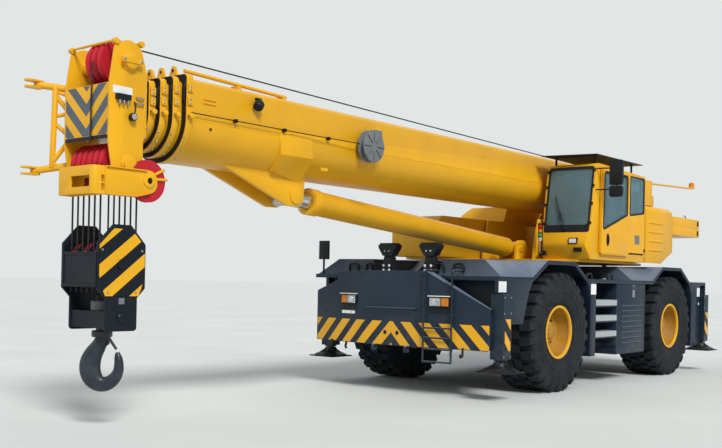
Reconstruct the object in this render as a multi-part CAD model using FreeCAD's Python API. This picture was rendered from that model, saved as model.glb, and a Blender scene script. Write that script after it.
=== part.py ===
import FreeCAD, Part
import math
import os

# Mobile crane with four large tyres and a telescopic boom, in millimetres.
# +X points to the boom's tip, +Y to the cab's side and +Z up.
# The origin lies on the ground under the middle of the whole machine.

V = FreeCAD.Vector

# Fits shared by all pieces
FIT = 0.3
RUNNING = 0.08
CLEAR = 5.0

# Overall box
HALF_LENGTH = 6830.0
HALF_WIDTH = 1940.0

# Wheels and axles
FRONT_AXLE_X = -700.0
WHEELBASE = 4250.0
REAR_AXLE_X = FRONT_AXLE_X - WHEELBASE
TYRE_RADIUS = 910.0
TYRE_WIDTH = 740.0
TYRE_LUGS = 20
LUG_DEPTH = 46.0
LUG_SHARE = 0.62
RIM_RADIUS = 406.5
RIM_WIDTH = 640.0
RIM_SEAT_DROP = 22.0
RIM_DISH_Y = 40.0
DECK_SIDE_Y = HALF_WIDTH - 240.0
WHEEL_Y = DECK_SIDE_Y - 345.0
AXLE_Z = TYRE_RADIUS
AXLE_TUBE_RADIUS = 125.0
DIFFERENTIAL_RADIUS = 290.0
KINGPIN_Y = WHEEL_Y - 375.0
KINGPIN_RADIUS = 55.0
SPINDLE_RADIUS = 85.0
STEER_EYE_RADIUS = 120.0
STEER_EYE_HEIGHT = 240.0

# Carrier
FRAME_HALF_WIDTH = 480.0
FRAME_BOTTOM = 1200.0
FRAME_TOP = 1690.0
FRAME_WALL = 20.0
FRAME_FRONT_X = 1265.0
FRAME_REAR_X = REAR_AXLE_X - 1675.0
ENGINE_BAY_X = REAR_AXLE_X - 200.0
DECK_Z = 1730.0
DECK_SHEET = 60.0
PLATE = 10.0
DECK_FRONT_X = 1110.0
DECK_REAR_X = FRAME_REAR_X + 5.0
FENDER_Z = 1990.0
FENDER_TOP_REACH = 430.0
FENDER_FOOT_REACH = 870.0
HUMP_Z = 1970.0
HUMP_INNER_Y = 640.0
HUMP_EDGE_Y = DECK_SIDE_Y - 340.0
FRONT_HUMP_X = 940.0
REAR_HUMP_X = REAR_AXLE_X + 1650.0
SKIRT_THICKNESS = 60.0
SKIRT_BOTTOM = 1060.0
SPLASH_BOTTOM = 495.0
SPLASH_Y = DECK_SIDE_Y - 280.0

# Front panel
NOSE_X = 1310.0
NOSE_WING_X = 1157.0
NOSE_FLAT_Y = 550.0
NOSE_HALF_WIDTH = DECK_SIDE_Y - 88.0
NOSE_BOTTOM = 690.0
NOSE_TOP = 1790.0
NOSE_SHEET = 40.0

TOW_HOOK_Y = 300.0
TOW_HOOK_Z = 650.0
PANEL_RIB_Y = 430.0

# Boom rest on the front deck, and the mirror beside it
REST_X = 875.0
REST_Y = 390.0
REST_TOP = 2215.0
REST_FOOT_TOP = 2000.0
REST_POST_HALF = 75.0
REST_FOOT_HALF = 88.0
REST_CAP_HALF = 140.0
REST_CAP_DEPTH = 60.0
MIRROR_POST = V(1082, -1560, 0)
MIRROR_BOTTOM = 1960.0
MIRROR_TOP = 2255.0

# Outriggers: a pair of crossing beams in each of the two housings
BEAM_WIDTH = 220.0
BEAM_HEIGHT = 340.0
BEAM_WALL = 14.0
HOUSING_WALL = 15.0
BEAM_PITCH = BEAM_WIDTH + 2 * CLEAR + HOUSING_WALL
FRONT_BEAMS_X = 865.0
REAR_BEAMS_X = FRAME_REAR_X + 260.0
FLOAT_RADIUS = 260.0
JACK_Y = HALF_WIDTH - FLOAT_RADIUS
HOUSING_HALF = JACK_Y - 120.0
BEAM_INNER_END = JACK_Y - 280.0
BEAM_OUTER_END = JACK_Y - 60.0
JACK_TUBE_RADIUS = 95.0
JACK_TUBE_BOTTOM = 560.0
JACK_TUBE_TOP = 1480.0
JACK_ROD_RADIUS = 58.0
FLOAT_BOTTOM = 400.0
FLOAT_THICKNESS = 55.0
HOUSING_TOP = FRAME_BOTTOM
HOUSING_BOTTOM = HOUSING_TOP - BEAM_HEIGHT - CLEAR - FIT - 2 * HOUSING_WALL
BEAM_Z = HOUSING_BOTTOM + HOUSING_WALL + FIT

# Ladder and side boxes between the wheels
LADDER_REAR_X = -2650.0
STEP_TOPS = (880.0, 1140.0, 1390.0)
STEP_HEIGHT = 110.0
TANK_REAR_X = REAR_AXLE_X + 1170.0
TANK_BOTTOM = 480.0
TANK_INNER_Y = 850.0

# Engine and its hood
ENGINE_HALF_WIDTH = 330.0
ENGINE_TOP = 1880.0
HOOD_TOP = 1980.0
HOOD_EDGE_Z = 1900.0
HOOD_SHEET = 25.0

# Superstructure
SLEW_X = -2800.0
RING_RADIUS = 740.0
RING_BOTTOM = 1665.0
RING_SPLIT = 1850.0
TURRET_BASE_Z = 2020.0
TURRET_BASE_SHEET = 40.0
TURRET_PLATE_Y = 490.0
TURRET_PLATE = 30.0
BOOM_PIVOT = V(-4850, 0, 3220)
BOOM_PIN_RADIUS = 80.0
BOOM_BOSS_RADIUS = 190.0
CYLINDER_BASE = V(-2060, 0, 2240)
CYLINDER_EYE = V(3600, 0, 2700)
CYLINDER_PIN_RADIUS = 60.0
BARREL_RADIUS = 165.0
BARREL_LENGTH = 5250.0
LUFF_ROD_RADIUS = 115.0
EAR_LOW_Y = 125.0
EAR_HIGH_Y = 175.0
EYE_LUG_LOW_Y = 160.0
EYE_LUG_HIGH_Y = 210.0
TIE_SHEET = 25.0

# Cab
CAB_RIGHT_Y = 600.0
CAB_LEFT_Y = 1500.0
CAB_WALL = 50.0
CAB_FLOOR_Z = 2060.0
CAB_ROOF_Z = 3660.0
CAB_REAR_X = -4180.0
ROOF_FRONT_X = -2200.0
ROOF_FALL = 60.0
PANE = 8.0
PANE_DEPTH = 12.0
DOOR_FRONT_X = -2290.0
DOOR_REAR_X = -3360.0
DOOR_TRAVEL = 800.0
GUARD_Z = 3800.0
GUARD_SHEET = 12.0
GUARD_LEG = 30.0
SEAT_X = -3350.0
WHEEL_RING_RADIUS = 190.0
CAB_MIRROR = V(-2250, 1825, 0)
CAB_MIRROR_HALF = 110.0
CAB_MIRROR_ARM = 11.0

# Covers, counterweight and winches
COVER_TOP = 3110.0
WEIGHT_FRONT_X = -HALF_LENGTH + 1390.0
WEIGHT_SLAB_X = -HALF_LENGTH + 510.0
COVER_REAR_X = WEIGHT_FRONT_X + 20.0
WEIGHT_BOTTOM = 2630.0
WEIGHT_TOP = 2980.0
WEIGHT_HALF_WIDTH = 1500.0
WEIGHT_ARM_Y = 1050.0
MAIN_DRUM = V(-HALF_LENGTH + 910, 0, 2670)
AUX_DRUM = V(-HALF_LENGTH + 450, 0, 3310)
DRUM_HALF = 300.0
DRUM_FLANGE = 25.0
DRUM_DEPTH = 90.0
DRUM_SHAFT_RADIUS = 70.0
# Winch drums: centre and flange radius
DRUMS = (
    ("main_drum", MAIN_DRUM, 300.0),
    ("aux_drum", AUX_DRUM, 280.0),
)
BEACON = V(-6490, 1440, 3600)
BEACON_POST_TOP = 3570.0

# Boom
BOOM_AXIS_Z = 3375.0
BOOM_REAR_X = -5200.0
BOOM_WALL = 10.0
BOOM_TOP_RADIUS = 55.0
BOOM_STEP = 80.0
BASE_WIDTH = 900.0
BASE_HEIGHT = 910.0
PAD_GAP = 0.4
COLLAR_WIDTH = 35.0
HEAD_FRONT_X = HALF_LENGTH - 260.0
HEAD_REAR_X = HEAD_FRONT_X - 450.0
# Front collars, one row a section: front end x and collar length
SECTIONS = (
    ("boom_base", HEAD_REAR_X - 490, 90.0),
    ("section_2", HEAD_REAR_X - 340, 80.0),
    ("section_3", HEAD_REAR_X - 200, 80.0),
    ("section_4", HEAD_REAR_X - 80, 80.0),
    ("section_5", HEAD_REAR_X, 40.0),
)
SECTION_REAR_STEP = 90.0
REEL_CENTRE = V(2543, BASE_WIDTH / 2 + FIT, 3426)
REEL_RADIUS = 215.0
REEL_CORE_RADIUS = 120.0

# Head and sheaves
HEAD_HALF_WIDTH = 400.0
HEAD_PLATE = 20.0
UPPER_SHEAVE_AXIS = V(HEAD_FRONT_X - 240, 100, 3870)
LOWER_SHEAVE_AXIS = V(HEAD_FRONT_X - 250, 0, 2800)
AUX_SHEAVE_AXIS = V(HEAD_FRONT_X - 470, 425, 2640)
BRACKET_BOTTOM = 2460.0
BRACKET_TOP = 2750.0
BRACKET_RIGHT_Y = -200.0
BRACKET_PLATE = 20.0
SHEAVE_RADIUS = 240.0
SHEAVE_WIDTH = 46.0
GROUP_SHEAVE_WIDTH = 73.6
AUX_SHEAVE_RADIUS = 225.0
AUX_PIN_RADIUS = 40.0
FALL_SHEAVES = 6
SHEAVE_PITCH = 100.0
SHEAVE_GROOVE = 24.0
SHEAVE_PIN_RADIUS = 60.0

# Hook block and its ropes
ROPE_RADIUS = 10.0
ROPE_END_Z = 1450.0
BLOCK_TOP = 2170.0
BLOCK_BOTTOM = 1050.0
BLOCK_HALF_WIDTH = 330.0
BLOCK_HALF_LENGTH = 300.0
BLOCK_LOW_HALF_LENGTH = 200.0
BLOCK_PLATE = 30.0
BLOCK_AXIS_Z = 1750.0
HOOK_OUTER_RADIUS = 235.0
HOOK_WIDTH = 130.0
HOOK_RING_Z = 625.0
HOOK_SHANK_RADIUS = 65.0
HOOK_TURN = 130.0


# Shapes from corners

def stretches_of(corners):
    """Start, middle and end of each corner; a corner is (a, b) or (a, b, radius)."""
    stretches = []
    for index, corner in enumerate(corners):
        here = V(corner[0], corner[1], 0)
        radius = corner[2] if len(corner) > 2 else 0
        if radius == 0:
            stretches.append((here, here, here))
            continue
        before = corners[index - 1]
        after = corners[(index + 1) % len(corners)]
        back = (V(before[0], before[1], 0) - here).normalize()
        ahead = (V(after[0], after[1], 0) - here).normalize()
        half = back.getAngle(ahead) / 2
        reach = radius / math.tan(half)
        inward = (back + ahead).normalize()
        middle = here + inward * (radius / math.sin(half) - radius)
        stretches.append((here + back * reach, middle, here + ahead * reach))
    return stretches


def outline(corners, place):
    """Closed wire through the corners, with tangent arcs at the rounded ones."""
    stretches = stretches_of(corners)
    edges = []
    for index, (start, middle, end) in enumerate(stretches):
        if (end - start).Length > 0.001:
            edges.append(Part.Arc(place(start), place(middle), place(end)).toShape())
        following = stretches[(index + 1) % len(stretches)][0]
        if (following - end).Length > 0.001:
            edges.append(Part.LineSegment(place(end), place(following)).toShape())
    return Part.Wire(edges)


def slab(corners, plane, low, high):
    """Flat outline in plane xz, yz or xy, extruded along the third axis from low to high."""
    places = {
        "xz": lambda point: V(point.x, low, point.y),
        "yz": lambda point: V(low, point.x, point.y),
        "xy": lambda point: V(point.x, point.y, low),
    }
    ways = {"xz": V(0, high - low, 0), "yz": V(high - low, 0, 0), "xy": V(0, 0, high - low)}
    return Part.Face(outline(corners, places[plane])).extrude(ways[plane])


def turned(corners, centre, axis):
    """Solid of revolution about axis x, y or z; a corner is (radius, place along the axis)."""
    places = {
        "x": lambda point: centre + V(point.y, 0, point.x),
        "y": lambda point: centre + V(point.x, point.y, 0),
        "z": lambda point: centre + V(point.x, 0, point.y),
    }
    ways = {"x": V(1, 0, 0), "y": V(0, 1, 0), "z": V(0, 0, 1)}
    return Part.Face(outline(corners, places[axis])).revolve(centre, ways[axis], 360)


def box(x0, x1, y0, y1, z0, z1):
    return Part.makeBox(x1 - x0, y1 - y0, z1 - z0, V(x0, y0, z0))


def bar(start, end, radius):
    """Round bar from point to point."""
    way = end - start
    return Part.makeCylinder(radius, way.Length, start, way)


def pipe(start, end, outer, inner):
    """Round pipe, open at both ends."""
    way = end - start
    bore = Part.makeCylinder(inner, way.Length + 2, start - way.normalize(), way)
    return bar(start, end, outer).cut(bore)


def ring_sweep(centre, axis, ring_radius, bar_radius, degrees):
    """Part of a ring with an eight-sided section, turned about axis through its centre."""
    flat = (V(0, 1, 0) if abs(axis.y) < 0.9 * axis.Length else V(1, 0, 0)).cross(axis).normalize()
    along = V(axis).normalize()
    points = []
    for index in range(9):
        angle = (index % 8 + 0.5) * math.pi / 4
        out = ring_radius + bar_radius * math.cos(angle)
        points.append(centre + flat * out + along * (bar_radius * math.sin(angle)))
    return Part.Face(Part.makePolygon(points)).revolve(centre, axis, degrees)


def fused(shapes):
    if len(shapes) == 1:
        return shapes[0]
    return shapes[0].multiFuse(shapes[1:]).removeSplitter()


def flipped(shape):
    """The same shape on the machine's other side."""
    return shape.mirror(V(0, 0, 0), V(0, 1, 0))


def save(node, solids):
    """Writes one node; solids that don't touch stay apart in it."""
    shape = solids[0] if len(solids) == 1 else Part.Compound(solids)
    shape.exportStep("parts/" + node + ".step")


# Wheels: the left front wheel's shapes, moved to each corner of the carrier

def tyre_rings():
    """Rings of points round the tyre from its left bead over the tread to its right bead.

    Each lug has three points on a ring: two on its top and one in the groove after it.
    """
    half = TYRE_WIDTH / 2
    floor = TYRE_RADIUS - LUG_DEPTH
    bead = RIM_WIDTH / 2
    pitch = 2 * math.pi / TYRE_LUGS
    lug = LUG_SHARE * pitch
    facet_reach = 1 / math.cos(pitch / 6)
    seat = (RIM_RADIUS - RIM_SEAT_DROP + FIT) * facet_reach
    flange = (RIM_RADIUS + FIT) * facet_reach
    rows = (
        # lug radius, lug y, groove radius, groove y
        (seat, bead - 28, seat, bead - 28),
        (flange, bead - 11, flange, bead - 11),
        (RIM_RADIUS + 235, half, RIM_RADIUS + 235, half),
        (TYRE_RADIUS - 42, half - 6, floor - 70, half - 4),
        (TYRE_RADIUS, half - 58, floor - 8, half - 40),
        (TYRE_RADIUS, 40, floor, 40),
    )
    rings = []
    for side in (1, -1):
        ordered = rows if side > 0 else rows[::-1]
        first = 0 if side > 0 else -lug
        for lug_radius, lug_y, groove_radius, groove_y in ordered:
            ring = []
            for index in range(TYRE_LUGS):
                begin = first + index * pitch
                angles = (begin, begin + lug, begin + (pitch + lug) / 2)
                if lug_radius == groove_radius:
                    angles = [(index + third / 3) * pitch for third in range(3)]
                for radius, y, angle in (
                    (lug_radius, lug_y, angles[0]),
                    (lug_radius, lug_y, angles[1]),
                    (groove_radius, groove_y, angles[2]),
                ):
                    ring.append(V(radius * math.sin(angle), side * y, radius * math.cos(angle)))
            rings.append(ring)
    return rings


def ring_solid(rings):
    """Closed solid of flat facets between rings of points; the last ring meets the first."""
    facets = []
    for near, far in zip(rings, rings[1:] + rings[:1]):
        count = len(near)
        for index in range(count):
            after = (index + 1) % count
            a, b = near[index], near[after]
            c, d = far[after], far[index]
            facets.append(Part.Face(Part.makePolygon([a, b, c, a])))
            facets.append(Part.Face(Part.makePolygon([a, c, d, a])))
    shell = Part.makeShell(facets)
    shell.sewShape()
    solid = Part.Solid(shell)
    if solid.Volume < 0:
        solid.reverse()
    return solid


def make_tyre():
    return ring_solid(tyre_rings())


def make_rim():
    half = RIM_WIDTH / 2
    return turned(
        (
            (RIM_RADIUS - RIM_SEAT_DROP, half - 26),
            (RIM_RADIUS, half - 10),
            (RIM_RADIUS, half),
            (RIM_RADIUS - 36, half),
            (RIM_RADIUS - 48, half - 60),
            (RIM_RADIUS - 105, RIM_DISH_Y + 60),
            (165, RIM_DISH_Y + 30),
            (150, RIM_DISH_Y + 110),
            (0, RIM_DISH_Y + 110),
            (0, RIM_DISH_Y + 20),
            (SPINDLE_RADIUS + RUNNING, RIM_DISH_Y + 20),
            (SPINDLE_RADIUS + RUNNING, -90),
            (150, -90),
            (165, RIM_DISH_Y),
            (RIM_RADIUS - 118, RIM_DISH_Y - 4),
            (RIM_RADIUS - 70, -half + 40),
            (RIM_RADIUS - 36, -half),
            (RIM_RADIUS, -half),
            (RIM_RADIUS, -half + 10),
            (RIM_RADIUS - RIM_SEAT_DROP, -half + 26),
        ),
        V(0, 0, 0),
        "y",
    )


def make_knuckle():
    """Yoke round the axle's end with its kingpin, and the spindle that carries the wheel."""
    eye_y = KINGPIN_Y - WHEEL_Y
    top = STEER_EYE_HEIGHT / 2 + CLEAR
    arm = 55.0
    yoke_y = eye_y + STEER_EYE_RADIUS + 25
    parts = [
        bar(V(0, eye_y, -top - arm), V(0, eye_y, top + arm), KINGPIN_RADIUS),
        box(-110, 110, yoke_y, yoke_y + 50, -top - arm, top + arm),
        bar(V(0, yoke_y, 0), V(0, RIM_DISH_Y + 10, 0), SPINDLE_RADIUS),
        bar(V(0, yoke_y + 30, 0), V(0, -100, 0), 130),
    ]
    for side in (-1, 1):
        low, high = sorted((side * top, side * (top + arm)))
        parts.append(box(-95, 95, eye_y - 40, yoke_y + 10, low, high))
        parts.append(bar(V(0, eye_y, low), V(0, eye_y, high), 95))
    return fused(parts)


CORNERS = (
    # name, axle x, side of the carrier
    ("fl", FRONT_AXLE_X, 1),
    ("fr", FRONT_AXLE_X, -1),
    ("rl", REAR_AXLE_X, 1),
    ("rr", REAR_AXLE_X, -1),
)


def build_wheels():
    shapes = {"tyre": make_tyre(), "rim": make_rim(), "knuckle": make_knuckle()}
    for corner, axle_x, side in CORNERS:
        for name, shape in shapes.items():
            placed = shape.copy()
            if side < 0:
                placed.rotate(V(0, 0, 0), V(0, 0, 1), 180)
            placed.translate(V(axle_x, side * WHEEL_Y, AXLE_Z))
            save(name + "_" + corner, [placed])


def build_axles():
    for name, axle_x, tilt in (("front_axle", FRONT_AXLE_X, 1), ("rear_axle", REAR_AXLE_X, -1)):
        centre = V(axle_x, 0, AXLE_Z)
        end = V(0, KINGPIN_Y, 0)
        eye_half = V(0, 0, STEER_EYE_HEIGHT / 2)
        bulge = turned(
            (
                (0, -420),
                (AXLE_TUBE_RADIUS, -420),
                (AXLE_TUBE_RADIUS + 20, -330),
                (DIFFERENTIAL_RADIUS - 50, -190),
                (DIFFERENTIAL_RADIUS, -90),
                (DIFFERENTIAL_RADIUS, 90),
                (DIFFERENTIAL_RADIUS - 50, 190),
                (AXLE_TUBE_RADIUS + 20, 330),
                (AXLE_TUBE_RADIUS, 420),
                (0, 420),
            ),
            centre,
            "y",
        )
        pinion = Part.makeCone(190, 95, 330, centre + V(tilt * 120, 0, 0), V(-tilt, 0, 0))
        parts = [bulge, pinion, bar(centre - end, centre + end, AXLE_TUBE_RADIUS - 15)]
        for side in (-1, 1):
            eye = centre + end * side
            parts.append(bar(eye - eye_half, eye + eye_half, STEER_EYE_RADIUS))
            saddle_y = side * 330
            parts.append(
                box(axle_x - 130, axle_x + 130, saddle_y - 60, saddle_y + 60, AXLE_Z, FRAME_BOTTOM - FIT)
            )
        axle = fused(parts)
        for side in (-1, 1):
            eye = centre + end * side
            axle = axle.cut(bar(eye - eye_half * 2, eye + eye_half * 2, KINGPIN_RADIUS + RUNNING))
        save(name, [axle])


# Carrier

OUTRIGGERS = (
    # name, beam x, side of the carrier
    ("fl", FRONT_BEAMS_X + BEAM_PITCH / 2, 1),
    ("fr", FRONT_BEAMS_X - BEAM_PITCH / 2, -1),
    ("rl", REAR_BEAMS_X - BEAM_PITCH / 2, 1),
    ("rr", REAR_BEAMS_X + BEAM_PITCH / 2, -1),
)


def build_frame():
    width = FRAME_HALF_WIDTH
    wall = FRAME_WALL
    parts = [
        box(FRAME_REAR_X, FRAME_FRONT_X, -width, width, FRAME_BOTTOM, FRAME_TOP),
        box(SLEW_X - 850, SLEW_X + 800, -820, 820, 1380, RING_BOTTOM),
        bar(V(SLEW_X, 0, RING_BOTTOM), V(SLEW_X, 0, RING_SPLIT), RING_RADIUS),
    ]
    for centre_x in (FRONT_BEAMS_X, REAR_BEAMS_X):
        half = BEAM_PITCH + HOUSING_WALL / 2
        parts.append(
            box(centre_x - half, centre_x + half, -HOUSING_HALF, HOUSING_HALF, HOUSING_BOTTOM, HOUSING_TOP)
        )
        for side in (-1, 1):
            low, high = sorted((side * width, side * 1500))
            parts.append(
                box(centre_x - 30, centre_x + 30, low, high, HOUSING_TOP, DECK_Z - DECK_SHEET - FIT)
            )
    frame = fused(parts)
    inner = FRAME_BOTTOM + wall
    cuts = [
        box(SLEW_X + 900, FRAME_FRONT_X + 1, -width + wall, width - wall, inner, FRAME_TOP - wall),
        box(FRAME_REAR_X - 1, SLEW_X - 950, -width + wall, width - wall, inner, FRAME_TOP - wall),
        box(FRAME_REAR_X + wall, ENGINE_BAY_X, -width + wall, width - wall, inner, FRAME_TOP + 1),
        bar(V(SLEW_X, 0, FRAME_BOTTOM - 1), V(SLEW_X, 0, RING_SPLIT + 1), RING_RADIUS - 160),
    ]
    for centre_x in (FRONT_BEAMS_X, REAR_BEAMS_X):
        for side in (-1, 1):
            middle = centre_x + side * BEAM_PITCH / 2
            half = BEAM_WIDTH / 2 + CLEAR
            cuts.append(
                box(
                    middle - half,
                    middle + half,
                    -HOUSING_HALF - 1,
                    HOUSING_HALF + 1,
                    HOUSING_BOTTOM + HOUSING_WALL,
                    HOUSING_TOP - HOUSING_WALL,
                )
            )
    frame = frame.cut(cuts)
    rear_panel = slab(
        (
            (-DECK_SIDE_Y, 1100),
            (-DECK_SIDE_Y, DECK_Z),
            (DECK_SIDE_Y, DECK_Z),
            (DECK_SIDE_Y, 1100),
            (NOSE_HALF_WIDTH, 700),
            (-NOSE_HALF_WIDTH, 700),
        ),
        "yz",
        FRAME_REAR_X - 25,
        FRAME_REAR_X,
    )
    save("chassis_frame", [fused([frame, rear_panel])])


def deck_line(shift, drop):
    """Deck and both wheel arches from rear to front, shift in from the corners and drop down."""
    line = [(DECK_REAR_X, DECK_Z - drop)]
    for axle_x in (REAR_AXLE_X, FRONT_AXLE_X):
        for reach, height in (
            (-FENDER_FOOT_REACH, DECK_Z),
            (-FENDER_TOP_REACH, FENDER_Z),
            (FENDER_TOP_REACH, FENDER_Z),
            (FENDER_FOOT_REACH, DECK_Z),
        ):
            inward = -shift if reach > 0 else shift
            line.append((axle_x + reach + inward, height - drop))
    line.append((DECK_FRONT_X, DECK_Z - drop))
    return line


def hump_form(axle_x, front_x, inset):
    """Raised box ahead of a wheel arch, its outer side sloping; inset gives the hollow below it."""
    foot_z = DECK_Z - 2 * inset
    across = slab(
        (
            (HUMP_INNER_Y + inset, foot_z),
            (HUMP_INNER_Y + inset, HUMP_Z - inset),
            (HUMP_EDGE_Y - inset / 2, HUMP_Z - inset),
            (DECK_SIDE_Y - 8 * inset, DECK_Z + 5 * inset),
            (DECK_SIDE_Y - 8 * inset, foot_z),
        )
        if inset
        else (
            (HUMP_INNER_Y, foot_z),
            (HUMP_INNER_Y, HUMP_Z),
            (HUMP_EDGE_Y, HUMP_Z),
            (DECK_SIDE_Y, foot_z),
        ),
        "yz",
        axle_x,
        front_x + 200,
    )
    side_view = slab(
        (
            (axle_x + FENDER_TOP_REACH + 2 * inset, HUMP_Z - inset),
            (axle_x + FENDER_FOOT_REACH - 15 + 4 * inset, DECK_Z - PLATE - inset),
            (front_x + 110 - inset, DECK_Z - PLATE - inset),
            (front_x - inset, HUMP_Z - inset),
        ),
        "xz",
        HUMP_INNER_Y,
        DECK_SIDE_Y,
    )
    return across.common(side_view)


def make_deck(beams):
    """One side's deck; beams are the x of the front and rear beam that leave on this side."""
    slope = math.atan2(FENDER_Z - DECK_Z, FENDER_FOOT_REACH - FENDER_TOP_REACH)
    shift = DECK_SHEET * math.tan(slope / 2)
    corners = deck_line(0, 0) + deck_line(shift, DECK_SHEET)[::-1]
    sheet = slab(corners, "xz", FRAME_HALF_WIDTH + FIT, DECK_SIDE_Y)
    under = deck_line(shift * PLATE / DECK_SHEET, PLATE) + deck_line(shift, DECK_SHEET + 1)[::-1]
    ends = box(
        DECK_REAR_X + PLATE, DECK_FRONT_X - PLATE, 0, DECK_SIDE_Y - SKIRT_THICKNESS, 1000, FENDER_Z
    )
    recess = slab(under, "xz", FRAME_HALF_WIDTH + FIT + PLATE, DECK_SIDE_Y).common(ends)
    sheet = sheet.cut(recess)
    parts = [sheet]
    hollows = []
    for axle_x, front_x in ((FRONT_AXLE_X, FRONT_HUMP_X), (REAR_AXLE_X, REAR_HUMP_X)):
        parts.append(hump_form(axle_x, front_x, 0))
        hollows.append(hump_form(axle_x, front_x, PLATE))
    inner_y = DECK_SIDE_Y - SKIRT_THICKNESS
    joint_z = DECK_Z - DECK_SHEET / 2
    swing = []
    for axle_x in (FRONT_AXLE_X, REAR_AXLE_X):
        centre = V(axle_x, KINGPIN_Y, AXLE_Z)
        corner_reach = math.hypot(TYRE_RADIUS, WHEEL_Y + TYRE_WIDTH / 2 - KINGPIN_Y)
        swing.append(Part.makeSphere(corner_reach + 2 * CLEAR, centre))
    front_beam, rear_beam = beams
    gap = BEAM_WIDTH / 2 + 2 * CLEAR
    parts.append(
        slab(
            (
                (FRONT_AXLE_X + 1130, SKIRT_BOTTOM),
                (FRONT_AXLE_X + 980, 1500),
                (FRONT_AXLE_X + 850, joint_z),
                (front_beam - gap, joint_z),
                (front_beam - gap, SKIRT_BOTTOM),
            ),
            "xz",
            inner_y,
            DECK_SIDE_Y,
        ).cut(swing)
    )
    for axle_x in (FRONT_AXLE_X, REAR_AXLE_X):
        end_x = axle_x - 1150
        parts.append(
            slab(
                (
                    (axle_x - 970, SPLASH_BOTTOM),
                    (axle_x - 970, 1450),
                    (axle_x - 850, joint_z),
                    (end_x, joint_z),
                    (end_x, SPLASH_BOTTOM),
                ),
                "xz",
                SPLASH_Y,
                DECK_SIDE_Y,
            ).cut(swing)
        )
    parts.append(
        box(rear_beam + gap, REAR_AXLE_X - 1100, HOUSING_HALF + 15, DECK_SIDE_Y, SPLASH_BOTTOM, joint_z)
    )
    deck = fused(parts)
    hollows.append(bar(V(SLEW_X, 0, 1000), V(SLEW_X, 0, FENDER_Z), RING_RADIUS + 40))
    return deck.cut(hollows)


def build_decks():
    left = make_deck((OUTRIGGERS[0][1], OUTRIGGERS[2][1]))
    right = flipped(make_deck((OUTRIGGERS[1][1], OUTRIGGERS[3][1])))
    save("decks", [left, right])


def build_side_pieces():
    inner_y = DECK_SIDE_Y - 250
    outer_y = DECK_SIDE_Y - 10
    top = DECK_Z - DECK_SHEET - FIT
    splash_x = FRONT_AXLE_X - 1150
    ladder = [
        box(splash_x - FIT - 15, splash_x - FIT, inner_y, outer_y, 620, top),
        box(LADDER_REAR_X + FIT, LADDER_REAR_X + FIT + 15, inner_y, outer_y, 620, top),
        box(LADDER_REAR_X + FIT, splash_x - FIT, inner_y, inner_y + 20, 620, 680),
    ]
    for step_top in STEP_TOPS:
        ladder.append(
            box(LADDER_REAR_X + FIT, splash_x - FIT, inner_y, outer_y, step_top - STEP_HEIGHT, step_top)
        )
    ladder = fused(ladder)
    pockets = []
    for step_top in STEP_TOPS:
        pockets.append(
            box(
                LADDER_REAR_X + 40,
                splash_x - 40,
                inner_y + 15,
                outer_y - 15,
                step_top - STEP_HEIGHT - 1,
                step_top - 12,
            )
        )
    ladder = ladder.cut(pockets)
    save("ladders", [ladder, flipped(ladder)])
    tank = slab(
        (
            (TANK_INNER_Y, top - 1),
            (TANK_INNER_Y, TANK_BOTTOM + 120, 60),
            (TANK_INNER_Y + 160, TANK_BOTTOM, 60),
            (DECK_SIDE_Y - 10, TANK_BOTTOM, 25),
            (DECK_SIDE_Y - 10, top - 1),
        ),
        "yz",
        TANK_REAR_X,
        LADDER_REAR_X,
    )
    hollow = box(
        TANK_REAR_X + PLATE,
        LADDER_REAR_X - PLATE,
        TANK_INNER_Y + PLATE,
        DECK_SIDE_Y - 10 - PLATE,
        TANK_BOTTOM + 170,
        top,
    )
    tank = tank.cut(hollow)
    save("tanks", [tank, flipped(tank)])


def build_engine():
    half = ENGINE_HALF_WIDTH
    block = box(FRAME_REAR_X + 565, ENGINE_BAY_X - 60, -half, half, FRAME_BOTTOM + FRAME_WALL, ENGINE_TOP)
    save("engine", [block])
    hood_side = FRAME_HALF_WIDTH - CLEAR
    hood = slab(
        (
            (FRAME_REAR_X + 5, FRAME_TOP + FIT),
            (FRAME_REAR_X + 5, HOOD_EDGE_Z, 60),
            (FRAME_REAR_X + 130, HOOD_TOP, 60),
            (ENGINE_BAY_X + 180, HOOD_TOP, 60),
            (ENGINE_BAY_X + 280, FRAME_TOP + FIT),
        ),
        "xz",
        -hood_side,
        hood_side,
    )
    inner_side = hood_side - HOOD_SHEET
    inner_rear_x = FRAME_REAR_X + 5 + HOOD_SHEET
    inside = box(inner_rear_x, ENGINE_BAY_X + 60, -inner_side, inner_side, FRAME_TOP, HOOD_TOP - 30)
    hood = hood.cut(inside)
    save("engine_hood", [hood])


def nose_shell():
    """Three-faced plan of the front panel, cut to its top line seen from the front."""
    wing = NOSE_X - NOSE_WING_X
    sheet = NOSE_SHEET
    plan = (
        (NOSE_WING_X, -NOSE_HALF_WIDTH),
        (NOSE_X, -NOSE_FLAT_Y),
        (NOSE_X, NOSE_FLAT_Y),
        (NOSE_WING_X, NOSE_HALF_WIDTH),
        (NOSE_WING_X - sheet, NOSE_HALF_WIDTH),
        (NOSE_X - sheet, NOSE_FLAT_Y),
        (NOSE_X - sheet, -NOSE_FLAT_Y),
        (NOSE_WING_X - sheet, -NOSE_HALF_WIDTH),
    )
    shell = slab(plan, "xy", NOSE_BOTTOM, NOSE_TOP)
    face = slab(
        (
            (-NOSE_HALF_WIDTH, NOSE_BOTTOM),
            (-NOSE_HALF_WIDTH, 1470),
            (-1130, 1640),
            (-1130, NOSE_TOP - 30),
            (-600, NOSE_TOP),
            (600, NOSE_TOP),
            (NOSE_HALF_WIDTH, 1270),
            (NOSE_HALF_WIDTH, 730),
            (NOSE_HALF_WIDTH - 40, NOSE_BOTTOM),
        ),
        "yz",
        NOSE_WING_X - wing,
        NOSE_X + 1,
    )
    return shell.common(face)


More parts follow.
